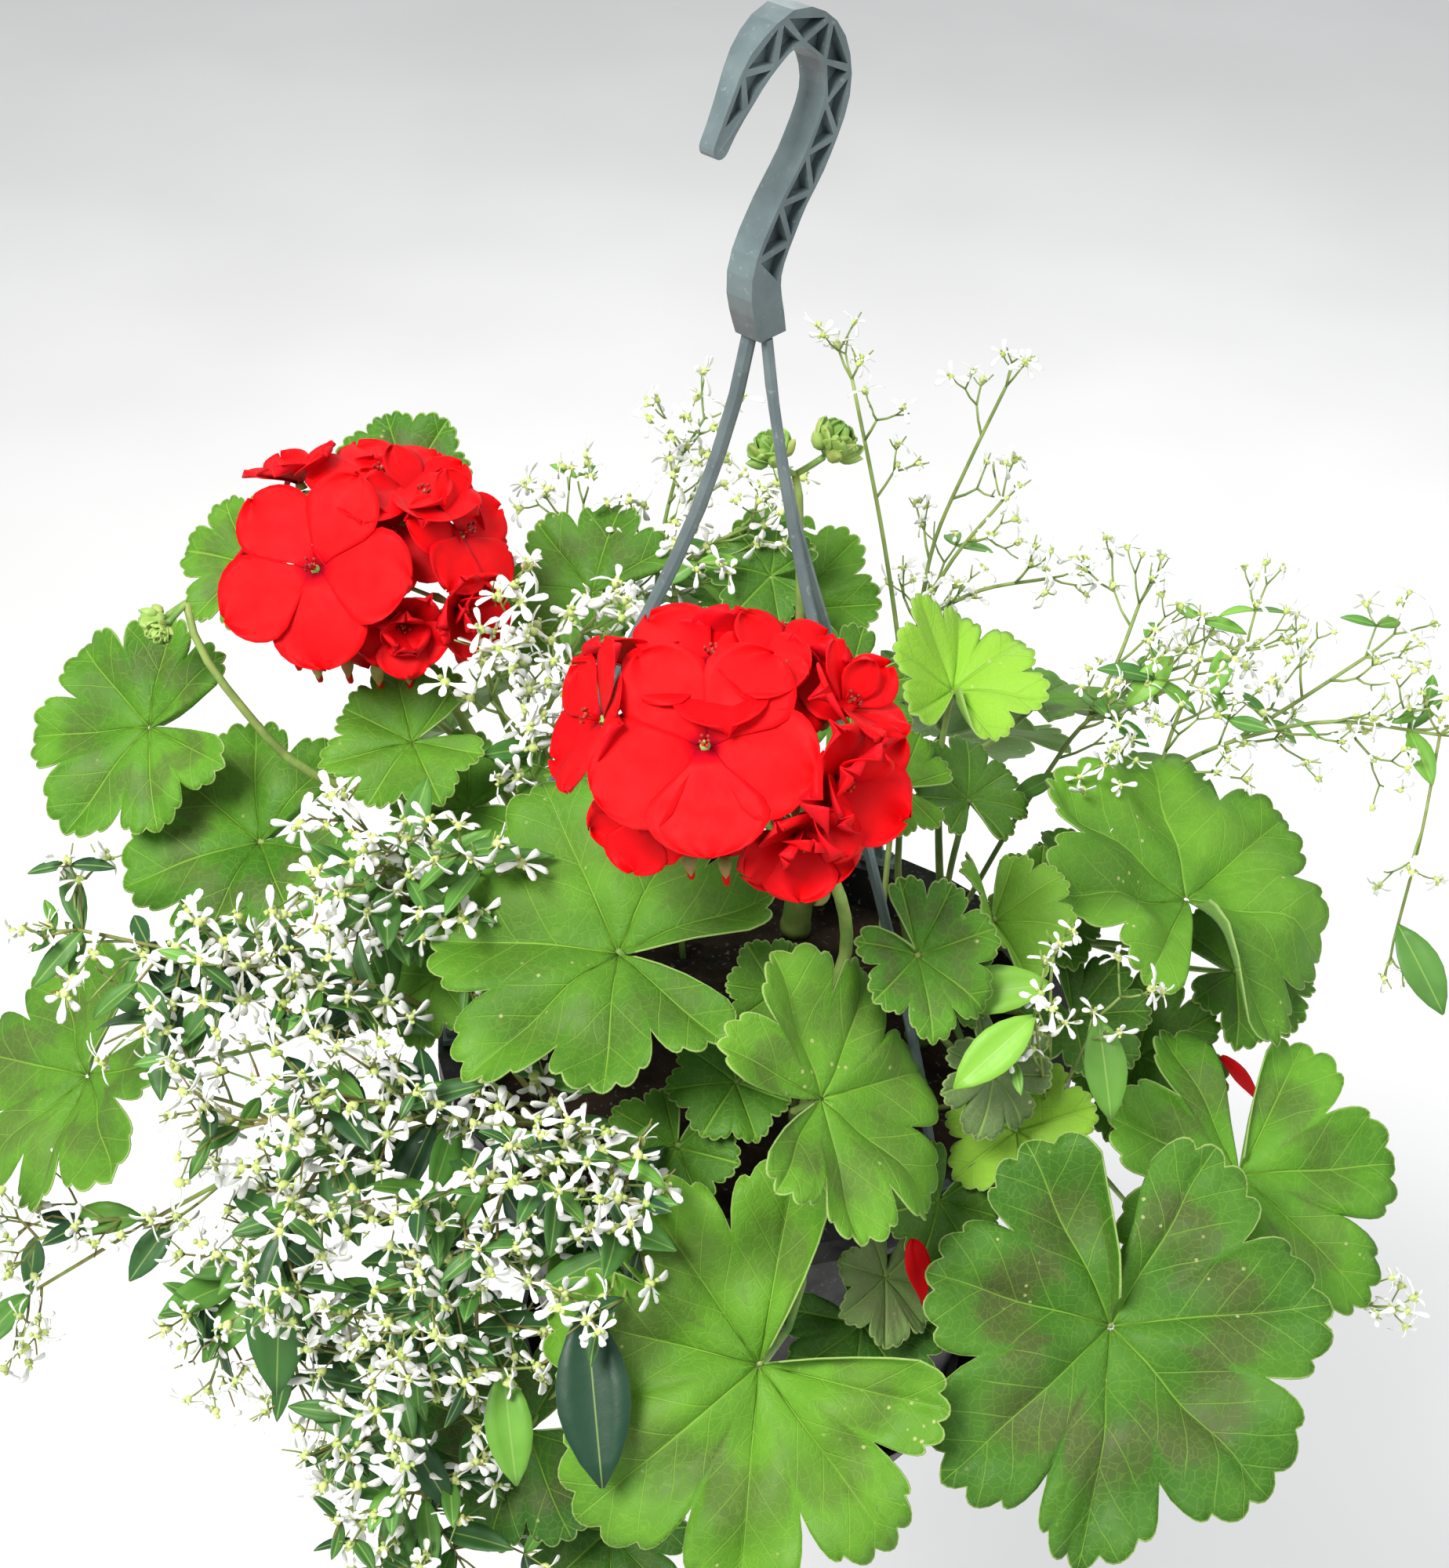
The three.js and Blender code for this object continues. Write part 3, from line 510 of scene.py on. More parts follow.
def geranium_leaf_material():
    """Patchy green with a brown zone, pale veins and specks, painted shade, a painted highlight at the edge
    and quilted bumps.
    """
    s = Shader("geranium_leaf", specular=0.24)
    tone, zone, withered = s.value("tone"), s.value("zone"), s.value("withered")
    broad = s.patches(22, 4, 0.32, 0.68)
    green = s.mix(broad, rgb(58, 110, 22), rgb(92, 148, 38))
    green = s.mix(tone, green, rgb(146, 196, 58))
    # Painted shade: the blade darkens toward a deep green on leaves lying under or behind others
    green = s.mix(s.value("shade"), green, rgb(44, 84, 30))
    share = s.value("share")
    ring = s.times(s.ramp(share, 0.36, 0.52), s.ramp(share, 0.66, 0.8, 1, 0))
    patchy = s.patches(34, 3, 0.34, 0.62, 0.35, 1)
    ring = s.times(s.times(ring, patchy), zone)
    green = s.mix(ring, green, rgb(78, 86, 46))
    veins = leaf_veins(s)
    green = s.mix(s.times(veins, 0.5), green, rgb(142, 186, 70))
    specks = s.times(s.ramp(s.cells(210), 0.1, 0.16, 1, 0), s.patches(30, 2, 0.56, 0.64))
    green = s.mix(s.times(specks, 0.7), green, rgb(190, 190, 130))
    # Painted highlight: a pale band along the blade's edge
    edge = s.ramp(s.value("edge_mm"), 0.15, 0.7, 0.75, 0)
    green = s.mix(edge, green, rgb(160, 186, 104))
    green = s.mix(s.times(withered, 0.75), green, rgb(138, 140, 108))
    under = s.mix(0.5, green, rgb(126, 154, 96))
    colour = s.mix(s.value("upper"), under, green)
    quilt = s.maths("ADD", s.times(veins, -1.0), s.times(s.noise(420, 3), 0.5))
    s.bump(quilt, 0.55, 0.0006)
    return s.colour(colour, s.patches(80, 3, 0.3, 0.7, 0.5, 0.66))


def petal_material():
    """Clear red with darker streaks along the petal, a crimson claw and painted shade on florets further
    back.
    """
    s = Shader("geranium_petal", specular=0.12)
    share, beside = s.value("share"), s.value("beside_mm")
    broad = s.patches(70, 3, 0.3, 0.7)
    red = s.mix(broad, rgb(214, 0, 6), rgb(244, 6, 14))
    streaks = s.node("ShaderNodeTexWave", 1, {"wave_type": "BANDS", "bands_direction": "X"}, Scale=1.35,
                     Distortion=1.5, Detail=2.0,
                     Vector=s.node("ShaderNodeCombineXYZ", X=beside, Y=s.times(share, 3.0)))
    streak = s.times(s.ramp(streaks, 0.55, 0.95), s.ramp(share, 0.1, 0.9, 0.5, 0.12))
    red = s.mix(streak, red, rgb(176, 0, 22))
    red = s.mix(s.ramp(share, 0.02, 0.2, 0.85, 0), red, rgb(150, 6, 40))
    # Painted shade: a darker red on florets lying further back and lower in the head
    red = s.mix(s.times(s.value("deep"), 0.6), red, rgb(168, 4, 16))
    colour = s.mix(s.value("upper"), s.mix(0.35, red, rgb(200, 20, 40)), red)
    s.bump(s.maths("ADD", streaks, s.noise(300, 2)), 0.22, 0.0004)
    s.bsdf.inputs["Sheen Weight"].default_value = 0.08
    s.bsdf.inputs["Sheen Roughness"].default_value = 0.4
    s.bsdf.inputs["Sheen Tint"].default_value = rgb(255, 90, 90)
    return s.colour(colour, s.patches(160, 2, 0.3, 0.7, 0.48, 0.62))


def stem_material(name, low, high, node_tint):
    s = Shader(name, specular=0.35)
    green = s.mix(s.patches(90, 3, 0.3, 0.7), low, high)
    green = s.mix(s.times(s.value("ruddy"), s.patches(140, 2, 0.25, 0.6)), green, node_tint)
    s.bump(s.noise(900, 3), 0.25, 0.0003)
    return s.colour(green, s.patches(200, 2, 0.3, 0.7, 0.42, 0.6))


def bract_material():
    s = Shader("spurge_bract", specular=0.25)
    share = s.value("share")
    white = s.mix(s.patches(260, 2, 0.3, 0.7), rgb(236, 238, 232), rgb(252, 252, 250))
    white = s.mix(s.ramp(share, 0.0, 0.28, 0.8, 0), white, rgb(196, 212, 150))
    s.bump(s.noise(700, 2), 0.2, 0.0002)
    return s.colour(white, s.patches(400, 2, 0.3, 0.7, 0.5, 0.66))


def spurge_leaf_material():
    s = Shader("spurge_leaf", specular=0.35)
    green = s.mix(s.patches(60, 3, 0.3, 0.7), rgb(58, 110, 44), rgb(84, 142, 58))
    green = s.mix(s.value("tone"), green, rgb(128, 184, 62))
    # Painted shade: a dark green on leaves hanging low or tucked under the geraniums
    green = s.mix(s.value("shade"), green, rgb(26, 62, 40))
    vein = s.ramp(s.maths("ABSOLUTE", s.value("beside_mm")), 0.1, 0.4, 0.45, 0)
    green = s.mix(vein, green, rgb(158, 190, 100))
    under = s.mix(0.5, green, rgb(130, 160, 110))
    s.bump(s.maths("ADD", s.noise(500, 3), s.times(vein, -1.0)), 0.3, 0.0003)
    return s.colour(s.mix(s.value("upper"), under, green), s.patches(150, 2, 0.3, 0.7, 0.42, 0.58))


def plain_material(name, dark, light, rough, grain, strength, specular=0.5):
    """Moulded plastic or soil: two tones in patches, uneven roughness and a grain to the touch."""
    s = Shader(name, specular=specular)
    colour = s.mix(s.patches(45, 4, 0.32, 0.68), dark, light)
    dust = s.patches(520, 2, 0.62, 0.75)
    colour = s.mix(s.times(dust, 0.35), colour, s.mix(0.5, light, rgb(190, 190, 180)))
    s.bump(s.noise(grain, 3), strength, 0.0004)
    return s.colour(colour, s.patches(120, 3, 0.3, 0.7, rough - 0.08, rough + 0.1))


LEAF = geranium_leaf_material()
PETAL = petal_material()
STEM = stem_material("geranium_stem", rgb(92, 134, 58), rgb(142, 172, 88), rgb(150, 84, 70))
TWIG = stem_material("spurge_stem", rgb(104, 136, 66), rgb(150, 172, 92), rgb(122, 74, 52))
BUD = stem_material("geranium_bud", rgb(110, 154, 66), rgb(164, 196, 104), rgb(176, 70, 62))
BEAD = stem_material("spurge_bead", rgb(168, 186, 96), rgb(214, 224, 150), rgb(150, 170, 90))
BRACT = bract_material()
SPURGE_LEAF = spurge_leaf_material()
ANTHER = stem_material("anther", rgb(120, 20, 24), rgb(190, 60, 40), rgb(90, 10, 10))
POT = plain_material("pot_plastic", rgb(9, 10, 10), rgb(20, 21, 21), 0.5, 1400, 0.12, 0.3)
HANGER = plain_material("hanger_plastic", rgb(84, 98, 101), rgb(104, 119, 121), 0.42, 1800, 0.12)
SOIL = plain_material("potting_soil", rgb(20, 15, 12), rgb(48, 37, 29), 0.9, 380, 1.0, 0.12)


# ---------------------------------------------------------------- geranium leaves

def lobe_outline(lobe, depth, rng):
    """Reach of the blade's edge at each place along its lobes, as a share of the longest lobe."""
    from_sinus = np.abs(lobe - np.floor(lobe) - 0.5)
    reach = 1 - depth * np.exp(-(from_sinus / 0.085) ** 1.15)
    reach *= 1 - 0.07 * np.sin(math.pi * lobe) ** 2
    lengths = 1 + 0.05 * rng.standard_normal(LOBES + 2)
    reach *= np.interp(lobe, np.arange(-(LOBES // 2) - 1, LOBES // 2 + 2), lengths)
    reach *= 1 - 0.2 * (np.abs(lobe) / (LOBES / 2)) ** 1.5
    teeth = np.abs(np.cos(math.pi * TEETH * lobe)) ** 0.75
    reach *= 1 - TOOTH_DEPTH * (1 - teeth)
    return reach * (1 - 0.82 * smooth(LOBES / 2 - 0.2, LOBES / 2, np.abs(lobe)))


def noise_line(x, rng):
    """A slow random line through x."""
    phases, rates = rng.uniform(0, 2 * math.pi, 3), (0.7, 1.6, 2.9)
    return sum(np.sin(rate * x + phase) / (k + 1) for k, (rate, phase) in enumerate(zip(rates, phases)))


def leaf_relief(u, lobe, angle, share, rng, form):
    """The blade's cup, its pleats between the lobes and its waves, as shares of its longest lobe."""
    z = form["cup"] * (1.9 * u - 0.95 * u ** 2)
    z = z + form["pleat"] * (np.abs(np.sin(math.pi * lobe)) ** 0.8 - 0.5) * u * (1.3 - 0.5 * u)
    z = z + form["wave"] * noise_line(angle * 1.9, rng) * share ** 3
    return z + 0.02 * noise_line(angle * 7, rng) * share ** 4


def leaf_grid(size, rng, form):
    """The blade's surface around its stalk's end, and the numbers its material reads."""
    fine = size > BIG_LEAF
    cols, rows = (30 * LOBES + 1, 12) if fine else (20 * LOBES + 1, 9)
    span = math.pi - math.radians(form["notch"])
    lobe = np.linspace(-LOBES / 2, LOBES / 2, cols)
    angle = 2 * span / LOBES * (lobe + 0.12 * noise_line(lobe, rng) * (1 - (2 * lobe / LOBES) ** 2))
    outline = lobe_outline(lobe, form["depth"], rng)
    longest = CAD_TIP_REACH * size
    share = np.concatenate([[0.02], np.linspace(0.09, 1, rows - 1) ** 0.9])[:, None]
    reach = longest * outline[None] * share
    x, y = reach * np.sin(angle), reach * np.cos(angle)
    z = leaf_relief(reach / longest, lobe, angle, share, rng, form)
    for _ in range(3):
        way, phase = rng.uniform(0, 2 * math.pi, 2)
        z = z + 0.02 * np.sin((x * math.cos(way) + y * math.sin(way)) / (5 * MM) + phase)
    fold = math.radians(form["fold"])
    z, x = z * longest + np.abs(x) * math.sin(fold), x * math.cos(fold)
    z = z - longest * form["droop"] * (np.maximum(y, 0) / longest) ** 2
    flap = smooth(0.2, 0.75, (x * form["flap_x"] + y * form["flap_y"]) / longest)
    z = z - longest * form["flap"] * flap ** 1.5
    values = {
        "lobe": np.broadcast_to(lobe, x.shape), "reach_mm": reach / MM, "share": share,
        "edge_mm": (longest * outline[None] - reach) / MM,
        "tone": form["tone"], "zone": form["zone"], "shade": form["shade"], "withered": form["withered"],
    }
    return np.stack([x, y, z], axis=2), values


# An ordinary leaf: its notch (half its opening) and fold in degrees, heights and depths as shares of
# its longest lobe, the way and depth of its turned-down flap, and its colours and painted shade from 0 to 1
PLAIN_FORM = {
    "notch": 9, "depth": 0.3, "cup": 0.17, "pleat": 0.125, "wave": 0.06, "fold": 0, "droop": 0.1,
    "flap": 0.0, "flap_x": 0.0, "flap_y": 1.0, "tone": 0.0, "zone": 0.4, "shade": 0.0, "withered": 0.0,
    "shrink": 1.0,
}
# What sets each leaf apart from an ordinary one
LEAF_FORMS = {
    "01": {"depth": 0.27, "notch": 24, "zone": 0.55},
    "02": {"depth": 0.22, "notch": 3, "shade": 0.5, "zone": 0.8},
    "03": {"depth": 0.24, "notch": 8, "zone": 0.3, "cup": 0.1},
    "04": {"depth": 0.27, "notch": 10, "droop": 0.4, "cup": 0.22},
    "05": {"depth": 0.16, "notch": 12, "flap": 0.35, "flap_x": 0.5, "flap_y": -0.8, "zone": 0.15},
    "06": {"depth": 0.3, "notch": 4, "zone": 0.5},
    "07": {"depth": 0.2, "notch": 4, "tone": 0.9, "zone": 0.1},
    "08": {"depth": 0.3, "zone": 0.6},
    "11": {"depth": 0.12, "zone": 0.2},
    "12": {"tone": 0.85, "zone": 0.0, "wave": 0.14, "depth": 0.2, "fold": 22},
    "13": {"depth": 0.12, "tone": 0.2},
    "14": {"depth": 0.14, "zone": 0.1, "tone": 0.1},
    "15": {"shade": 0.4, "depth": 0.2},
    "16": {"fold": 38, "tone": 0.35, "zone": 0.1},
    "17": {"shade": 0.2},
    "18": {"withered": 0.5, "wave": 0.16, "depth": 0.2, "shade": 0.3},
    "19": {"withered": 0.4, "wave": 0.16, "shade": 0.7, "depth": 0.3, "shrink": 0.74},
    "20": {"shade": 0.75, "zone": 0.7},
    "21": {"shade": 0.8, "zone": 0.3},
    "22": {"shade": 0.5},
    "23": {"shade": 0.4},
    "24": {"shade": 0.2, "depth": 0.1},
}


def leaf_form(number, rng):
    """A leaf's form: an ordinary one with chance differences, then its own."""
    form = dict(PLAIN_FORM)
    form["depth"] = rng.uniform(0.16, 0.27)
    form["wave"] = rng.uniform(0.03, 0.07)
    form["tone"] = rng.uniform(0, 0.2)
    # Every leaf gets a little painted shade at random; leaves in the shade of others get more below
    form["shade"] = rng.uniform(0, 0.25)
    form["zone"] = rng.uniform(0.3, 0.7)
    form.update(LEAF_FORMS.get(number, {}))
    return form


def geranium_leaf(name, index):
    """The finished blade and stalk of a leaf node; gives back the blade's grid of points."""
    joint, turn, size, stalk = leaf_frame(name)
    rng = source("leaf", index)
    form = leaf_form(name[-2:], rng)
    grid, values = leaf_grid(form["shrink"] * size, rng, form)
    world = grid @ turn.T + joint
    up = turn[:, 2]
    blade = sheet(world, LEAF_THICK, LEAF, **values)
    line = curve_through([joint + 0.4 * MM * up, *stalk[1:]], 14)
    radii = np.linspace(0.9, 1.5, len(line)) * MM
    petiole = tube(line, radii, 8, STEM, ruddy=rng.uniform(0, 0.35))
    mesh_piece(name + "_blade", [blade, petiole], [LEAF, STEM], [name])
    return world


# ---------------------------------------------------------------- geranium flowers

def petal_grid(length, width, rng, ruffle=1.0, rows=11, cols=11):
    """One petal along +Y from its claw, curving up and out, and the numbers its material reads."""
    t = np.sin(np.linspace(0.03, 0.985, rows) * math.pi / 2)
    across = np.linspace(-1, 1, cols)
    body = 0.12 + 0.88 * smooth(0, 0.62, t)
    tip = np.sqrt(np.clip(1 - (np.maximum(t - 0.6, 0) / 0.4) ** 2, 0, 1))
    half = width / 2 * body * np.maximum(tip, 0.1)
    x = half[:, None] * across[None]
    y = np.broadcast_to(length * t[:, None], x.shape)
    bow = rng.uniform(-0.12, 0.1)
    z = length * (0.16 * t - (0.2 + bow) * t ** 2)[:, None]
    z = z + width * rng.uniform(0.04, 0.1) * (across[None] ** 2) * t[:, None]
    phase = rng.uniform(0, 6, 2)
    waves = np.sin(4.2 * across[None] + phase[0]) + 0.6 * np.sin(7.5 * across[None] + phase[1])
    z = z + ruffle * 0.035 * width * waves * t[:, None] ** 3
    return np.stack([x, y, z], axis=2), {"share": t[:, None], "beside_mm": x / MM}


def spun(grid, lift, turn, raised=0.0):
    """A petal grid lifted from the plane of its floret and turned about the floret's axis."""
    return grid @ (about_z(turn) @ about_x(lift)).T + (0, 0, raised)


def floret(size, openness, rng, deep, ruffle, petals, slim):
    """Petals around a throat with stamens, facing +Z, with the calyx behind."""
    parts = []
    first = -math.radians(72) + rng.uniform(-0.2, 0.2)
    for k in range(petals):
        upper = k % 5 in (0, 1)
        inner = 0.82 if k >= 5 else 1.0
        length = 0.53 * size * inner * rng.uniform(0.95, 1.04)
        width = 0.56 * size * inner * slim * (0.82 if upper else 1.0) * rng.uniform(0.94, 1.06)
        grid, values = petal_grid(length, width, rng, ruffle)
        lift = math.radians(80 * (1 - openness) + rng.uniform(-6, 6) + (28 if k >= 5 else 0))
        turn = first + 2 * math.pi * (k + 0.5 + 0.4 * (k // 5)) / 5 + rng.uniform(-0.08, 0.08)
        world = spun(grid, lift, turn, (k % 2) * 0.8 * MM)
        # Each petal takes its floret's painted shade, a little more or less at random
        parts.append(sheet(world, PETAL_THICK, PETAL, deep=deep + 0.2 * rng.random(), **values))
    for k in range(6):
        lean = onring(rng.uniform(0.12, 0.42), k * 60 + rng.uniform(-15, 15))
        line = [np.zeros(3), 3 * MM * (lean + (0, 0, 1)), 5.6 * MM * (1.1 * lean + (0, 0, 1))]
        # The stamens' stalks carry painted shade from deep in the throat
        parts.append(tube(line, 0.26 * MM, 4, PETAL, deep=0.6, share=0.4, upper=1))
        parts.append(tube([line[2], line[2] + (0, 0, 1.3 * MM)], [0.4 * MM, 0.5 * MM], 5, ANTHER))
    parts.append(tube([(0, 0, 0), (0, 0, 6.4 * MM)], [0.5 * MM, 0.4 * MM], 5, BUD, ruddy=1.0))
    parts.append(tube([(0, 0, -1.5 * MM), (0, 0, 1.2 * MM)], [2.2 * MM, 1.3 * MM], 8, BUD, ruddy=0.2))
    for k in range(5):
        grid, _ = petal_grid(8 * MM, 3 * MM, rng, ruffle=0, rows=5, cols=3)
        world = spun(grid, -0.46, first + 2 * math.pi * k / 5, -2.2 * MM)
        parts.append(sheet(world, SMALL_LEAF_THICK, BUD, ruddy=0.35))
    return parts


def onring(radius, degrees):
    return np.array([radius * math.cos(math.radians(degrees)), radius * math.sin(math.radians(degrees)), 0])


def bud(length, ruddy=0.0):
    """A closed bud along +Z: a teardrop wrapped in five sepals."""
    profile = [(0.12, 0), (0.7, 0.12), (1.0, 0.34), (0.92, 0.55), (0.6, 0.78), (0.22, 0.95), (0.05, 1.02)]
    core = lathe([(0.26 * length * r, length * z) for r, z in profile], 10, BUD, ruddy=ruddy)
    angle = np.arctan2(core["points"][:, 1], core["points"][:, 0])
    ridge = 1 + 0.14 * np.abs(np.cos(2.5 * angle))
    core["points"][:, :2] *= ridge[:, None]
    return core


# Each floret of a head as the head is looked at from above: place to the right, up and toward the
# eye (mm), turn to the right and up (degrees), width (mm), openness, ruffle, painted shade, petals
FRONT_FLORETS = [
    (-3, -6, 15, 0, 4, 62, 1.0, 0.8, 0.0, 5), (-2, 19, 4, -4, 40, 52, 0.95, 1.2, 0.1, 5),
    (-33, 3, -1, -62, 8, 46, 0.86, 1.2, 0.25, 5), (17, 17, 2, 34, 26, 42, 0.9, 1.3, 0.2, 5),
    (34, 8, 0, 52, 26, 38, 0.62, 3.2, 0.1, 6), (33, -13, 3, 42, -16, 44, 0.66, 3.4, 0.2, 8),
    (23, -27, -1, 18, -46, 38, 0.58, 3.2, 0.35, 7), (-20, -22, -3, -34, -48, 34, 0.6, 1.5, 0.4, 5),
    (0, 22, -14, 0, 104, 40, 0.7, 1.4, 0.5, 5), (-25, 20, -12, -52, 70, 36, 0.7, 1.5, 0.5, 5),
    (26, 20, -12, 70, 56, 34, 0.7, 1.5, 0.5, 5), (2, -22, -15, 0, -96, 30, 0.5, 1.5, 0.7, 5),
]
LEFT_FLORETS = [
    (-14, -7, 14, -10, 0, 61, 0.98, 0.9, 0.0, 5), (5, 24, 4, 4, 42, 46, 0.94, 1.2, 0.1, 5),
    (-22, 24, 0, -34, 58, 34, 0.62, 1.6, 0.35, 5), (30, 7, 2, 46, 14, 42, 0.95, 1.2, 0.05, 5),
    (17, 17, 4, 26, 34, 38, 0.75, 1.8, 0.3, 5), (12, -21, 2, 14, -34, 36, 0.5, 2.6, 0.6, 9),
    (29, -15, -3, 48, -24, 34, 0.6, 2.2, 0.5, 8), (8, 5, 4, 8, 12, 46, 0.9, 1.3, 0.35, 5),
    (-30, 8, -10, -76, 24, 36, 0.7, 1.4, 0.5, 5), (0, 20, -15, 0, 106, 38, 0.7, 1.4, 0.5, 5),
    (26, 12, -15, 100, 30, 34, 0.6, 1.5, 0.6, 5), (-2, -20, -15, 0, -94, 30, 0.5, 1.5, 0.7, 5),
]


def hanging_buds(heart, centre, axis, radius, frame3, rng):
    """Reddish buds that hang below a head on thin stalks, each with one curled petal showing."""
    parts = []
    hang = basis((0.1, -0.35, -1), (1, 0, 0))
    hook = curve_through(np.array([(0, 0, 5), (1.6, 0, 8.5), (3.6, 0, 9.5), (4.6, 0, 7.4)]) * MM, 7)
    widths = np.array([1.0, 1.2, 1.2, 1.1, 1.0, 0.9, 0.7, 0.4]) * MM
    # The curled petal under the head carries painted shade
    petal = tube(hook, widths, 6, PETAL, deep=0.4, share=0.6, upper=1)
    for k in range(6):
        way = frame3 @ unit((-0.9 + 0.32 * k, -1, -0.1 * k))
        tip = centre + rng.uniform(0.72, 0.84) * radius * way - 8 * MM * axis
        thread = curve_through([heart, (heart + tip) / 2 + 4 * MM * axis, tip], 6)
        parts.append(tube(thread, 0.55 * MM, 5, BUD, ruddy=0.6))
        parts.append(moved(bud(rng.uniform(7, 10) * MM, 0.7), hang, tip))
        parts.append(moved(petal, hang, tip))
    return parts


def flower_head(name, florets, index):
    """A head of separate florets on their stalks, around the end of the node's stalk."""
    centre, axis, radius, height, stalk = head_frame(name)
    rng = source("flower", index)
    frame3 = basis(axis, (0, 0, 1))
    heart = centre - 0.8 * height * axis
    neck = lathe(np.array([(1.2, 0), (3.4, 1.5), (3.6, 3.5), (1, 5)]) * MM, 9, BUD, ruddy=0.2)
    line = curve_through([heart, *stalk[1:]], 18)
    parts = [tube(line, np.linspace(1.7, 2.3, len(line)) * MM, 9, BUD, ruddy=0.15),
             moved(neck, frame3, heart - 2 * MM * axis)]
    for right, up, toward, pan, tilt, width, openness, ruffle, deep, petals in florets:
        way = panned(pan, tilt)
        at = centre + frame3 @ (np.array([right, up, toward]) * MM)
        facing = basis(frame3 @ way, frame3[:, 1] - 0.8 * way[1] * frame3[:, 2])
        slim = 0.95 if index else 1.0
        for piece in floret(width * MM, openness, rng, deep, ruffle, petals, slim):
            parts.append(moved(piece, facing, at))
        back = at - 3 * MM * facing[:, 2]
        bend = (back + heart) / 2 - 2 * MM * facing[:, 2]
        parts.append(tube(curve_through([heart, bend, back], 6), 0.75 * MM, 6, BUD, ruddy=0.3))
    parts.extend(hanging_buds(heart, centre, axis, radius, frame3, rng))
    mesh_piece(name + "_umbel", parts, [PETAL, BUD, ANTHER], [name])


def rosette(size, rng):
    """A tight head of buds cupped by broad toothed bracts, facing +Z."""
    parts = []
    for k in range(10):
        ring = 0 if k == 0 else 1 if k < 5 else 2
        tilt = (0, 0.55, 1.0)[ring]
        way = unit(onring(math.sin(tilt), 72 * k + 30 * ring) + (0, 0, math.cos(tilt)))
        one = bud(0.42 * size, rng.uniform(0, 0.2))
        parts.append(moved(one, basis(way, any_across(way)), 0.16 * size * way))
    for k in range(13):
        outer = k >= 6
        grid, _ = petal_grid(0.6 * size, (0.44 if outer else 0.36) * size, rng, 1.2, 7, 7)
        lift = math.radians(38 if outer else 60) + rng.uniform(-0.15, 0.15)
        curl = 0.9 * size * (grid[..., 1:2] / (0.6 * size)) ** 3 * (0, 0, 0.16)
        turn = 2 * math.pi * k / (7 if outer else 6) + 0.3
        leaflet = spun(grid + curl, lift, turn, -0.04 * size)
        parts.append(sheet(leaflet, 0.5 * MM, BUD, ruddy=0.08 * rng.random()))
    return parts


def bud_head(name, index, clusters):
    """Green bud clusters on a stalk: each is placed to the right and up (mm), turned, and sized."""
    centre, axis, _, height, stalk = head_frame(name)
    rng = source("bud", index)
    frame3 = basis(axis, (0, 0, 1))
    heart = centre - 0.8 * height * axis
    line = curve_through([heart, *stalk[1:]], 16)
    parts = [tube(line, np.linspace(1.3, 1.9, len(line)) * MM, 8, STEM, ruddy=0.2)]
    for right, up, pan, tilt, size in clusters:
        way = frame3 @ panned(pan, tilt)
        at = centre + frame3 @ (np.array([right, up, 0]) * MM)
        for piece in rosette(size * MM, rng):
            parts.append(moved(piece, basis(way, any_across(way)), at))
        line = curve_through([heart, (heart + at) / 2 - 1 * MM * way, at - 1 * MM * way], 5)
        parts.append(tube(line, 1.1 * MM, 6, STEM))
    mesh_piece(name + "_buds", parts, [STEM, BUD], [name])


def fallen_petal(name, index):
    """A curled petal in the plane of its node, its length as near upright as that plane allows."""
    points, _ = welded(name)
    rng = source("petal", index)
    centre = (points.max(axis=0) + points.min(axis=0)) / 2
    _, vectors = np.linalg.eigh(np.cov((points - centre).T))
    up = vectors[:, 0] if vectors[2, 0] > 0 else -vectors[:, 0]
    turn = basis(up, (0, 0.2, 1))
    length = np.ptp((points - centre) @ vectors[:, 2])
    grid, values = petal_grid(length, 0.4 * length, rng, ruffle=2.0)
    grid = grid - (0, 0.5 * length, 0)
    # The fallen petal lying among the leaves is darkened with painted shade
    petal = sheet(grid @ turn.T + centre, PETAL_THICK, PETAL, deep=0.8, **values)
    mesh_piece(name + "_petal", [petal], [PETAL], [name])


# ---------------------------------------------------------------- stems and soil

# Young leaves that fill each stem's foot: place over the rim's middle (mm), lean, its way, width
YOUNG_LEAVES = {
    "front": [(34, -116, -26, 52, -70, 54), (-24, -96, 30, 40, -100, 44), (-6, -86, 48, 34, -80, 40),
              (58, -96, 8, 44, -60, 40), (6, -64, 66, 30, -60, 36), (-52, -104, 10, 46, -110, 46)],
    "right": [(104, -36, 34, 34, -60, 48), (92, -8, 56, 30, -40, 44), (60, -46, 58, 34, -70, 40),
              (112, 22, 44, 30, 10, 46), (70, 18, 82, 28, -40, 42)],
    "left": [(-70, -34, 60, 34, -100, 50), (-96, 16, 78, 30, -120, 50), (-60, 12, 92, 30, -80, 46),
             (-104, -30, 44, 40, -130, 46), (-36, -8, 84, 30, -90, 40)],
    "back": [(30, 62, 96, 34, -80, 50), (-18, 60, 104, 34, -100, 46), (40, 96, 84, 34, 60, 50),
             (-20, 104, 82, 34, 110, 52), (4, 84, 128, 40, -80, 40)],
}


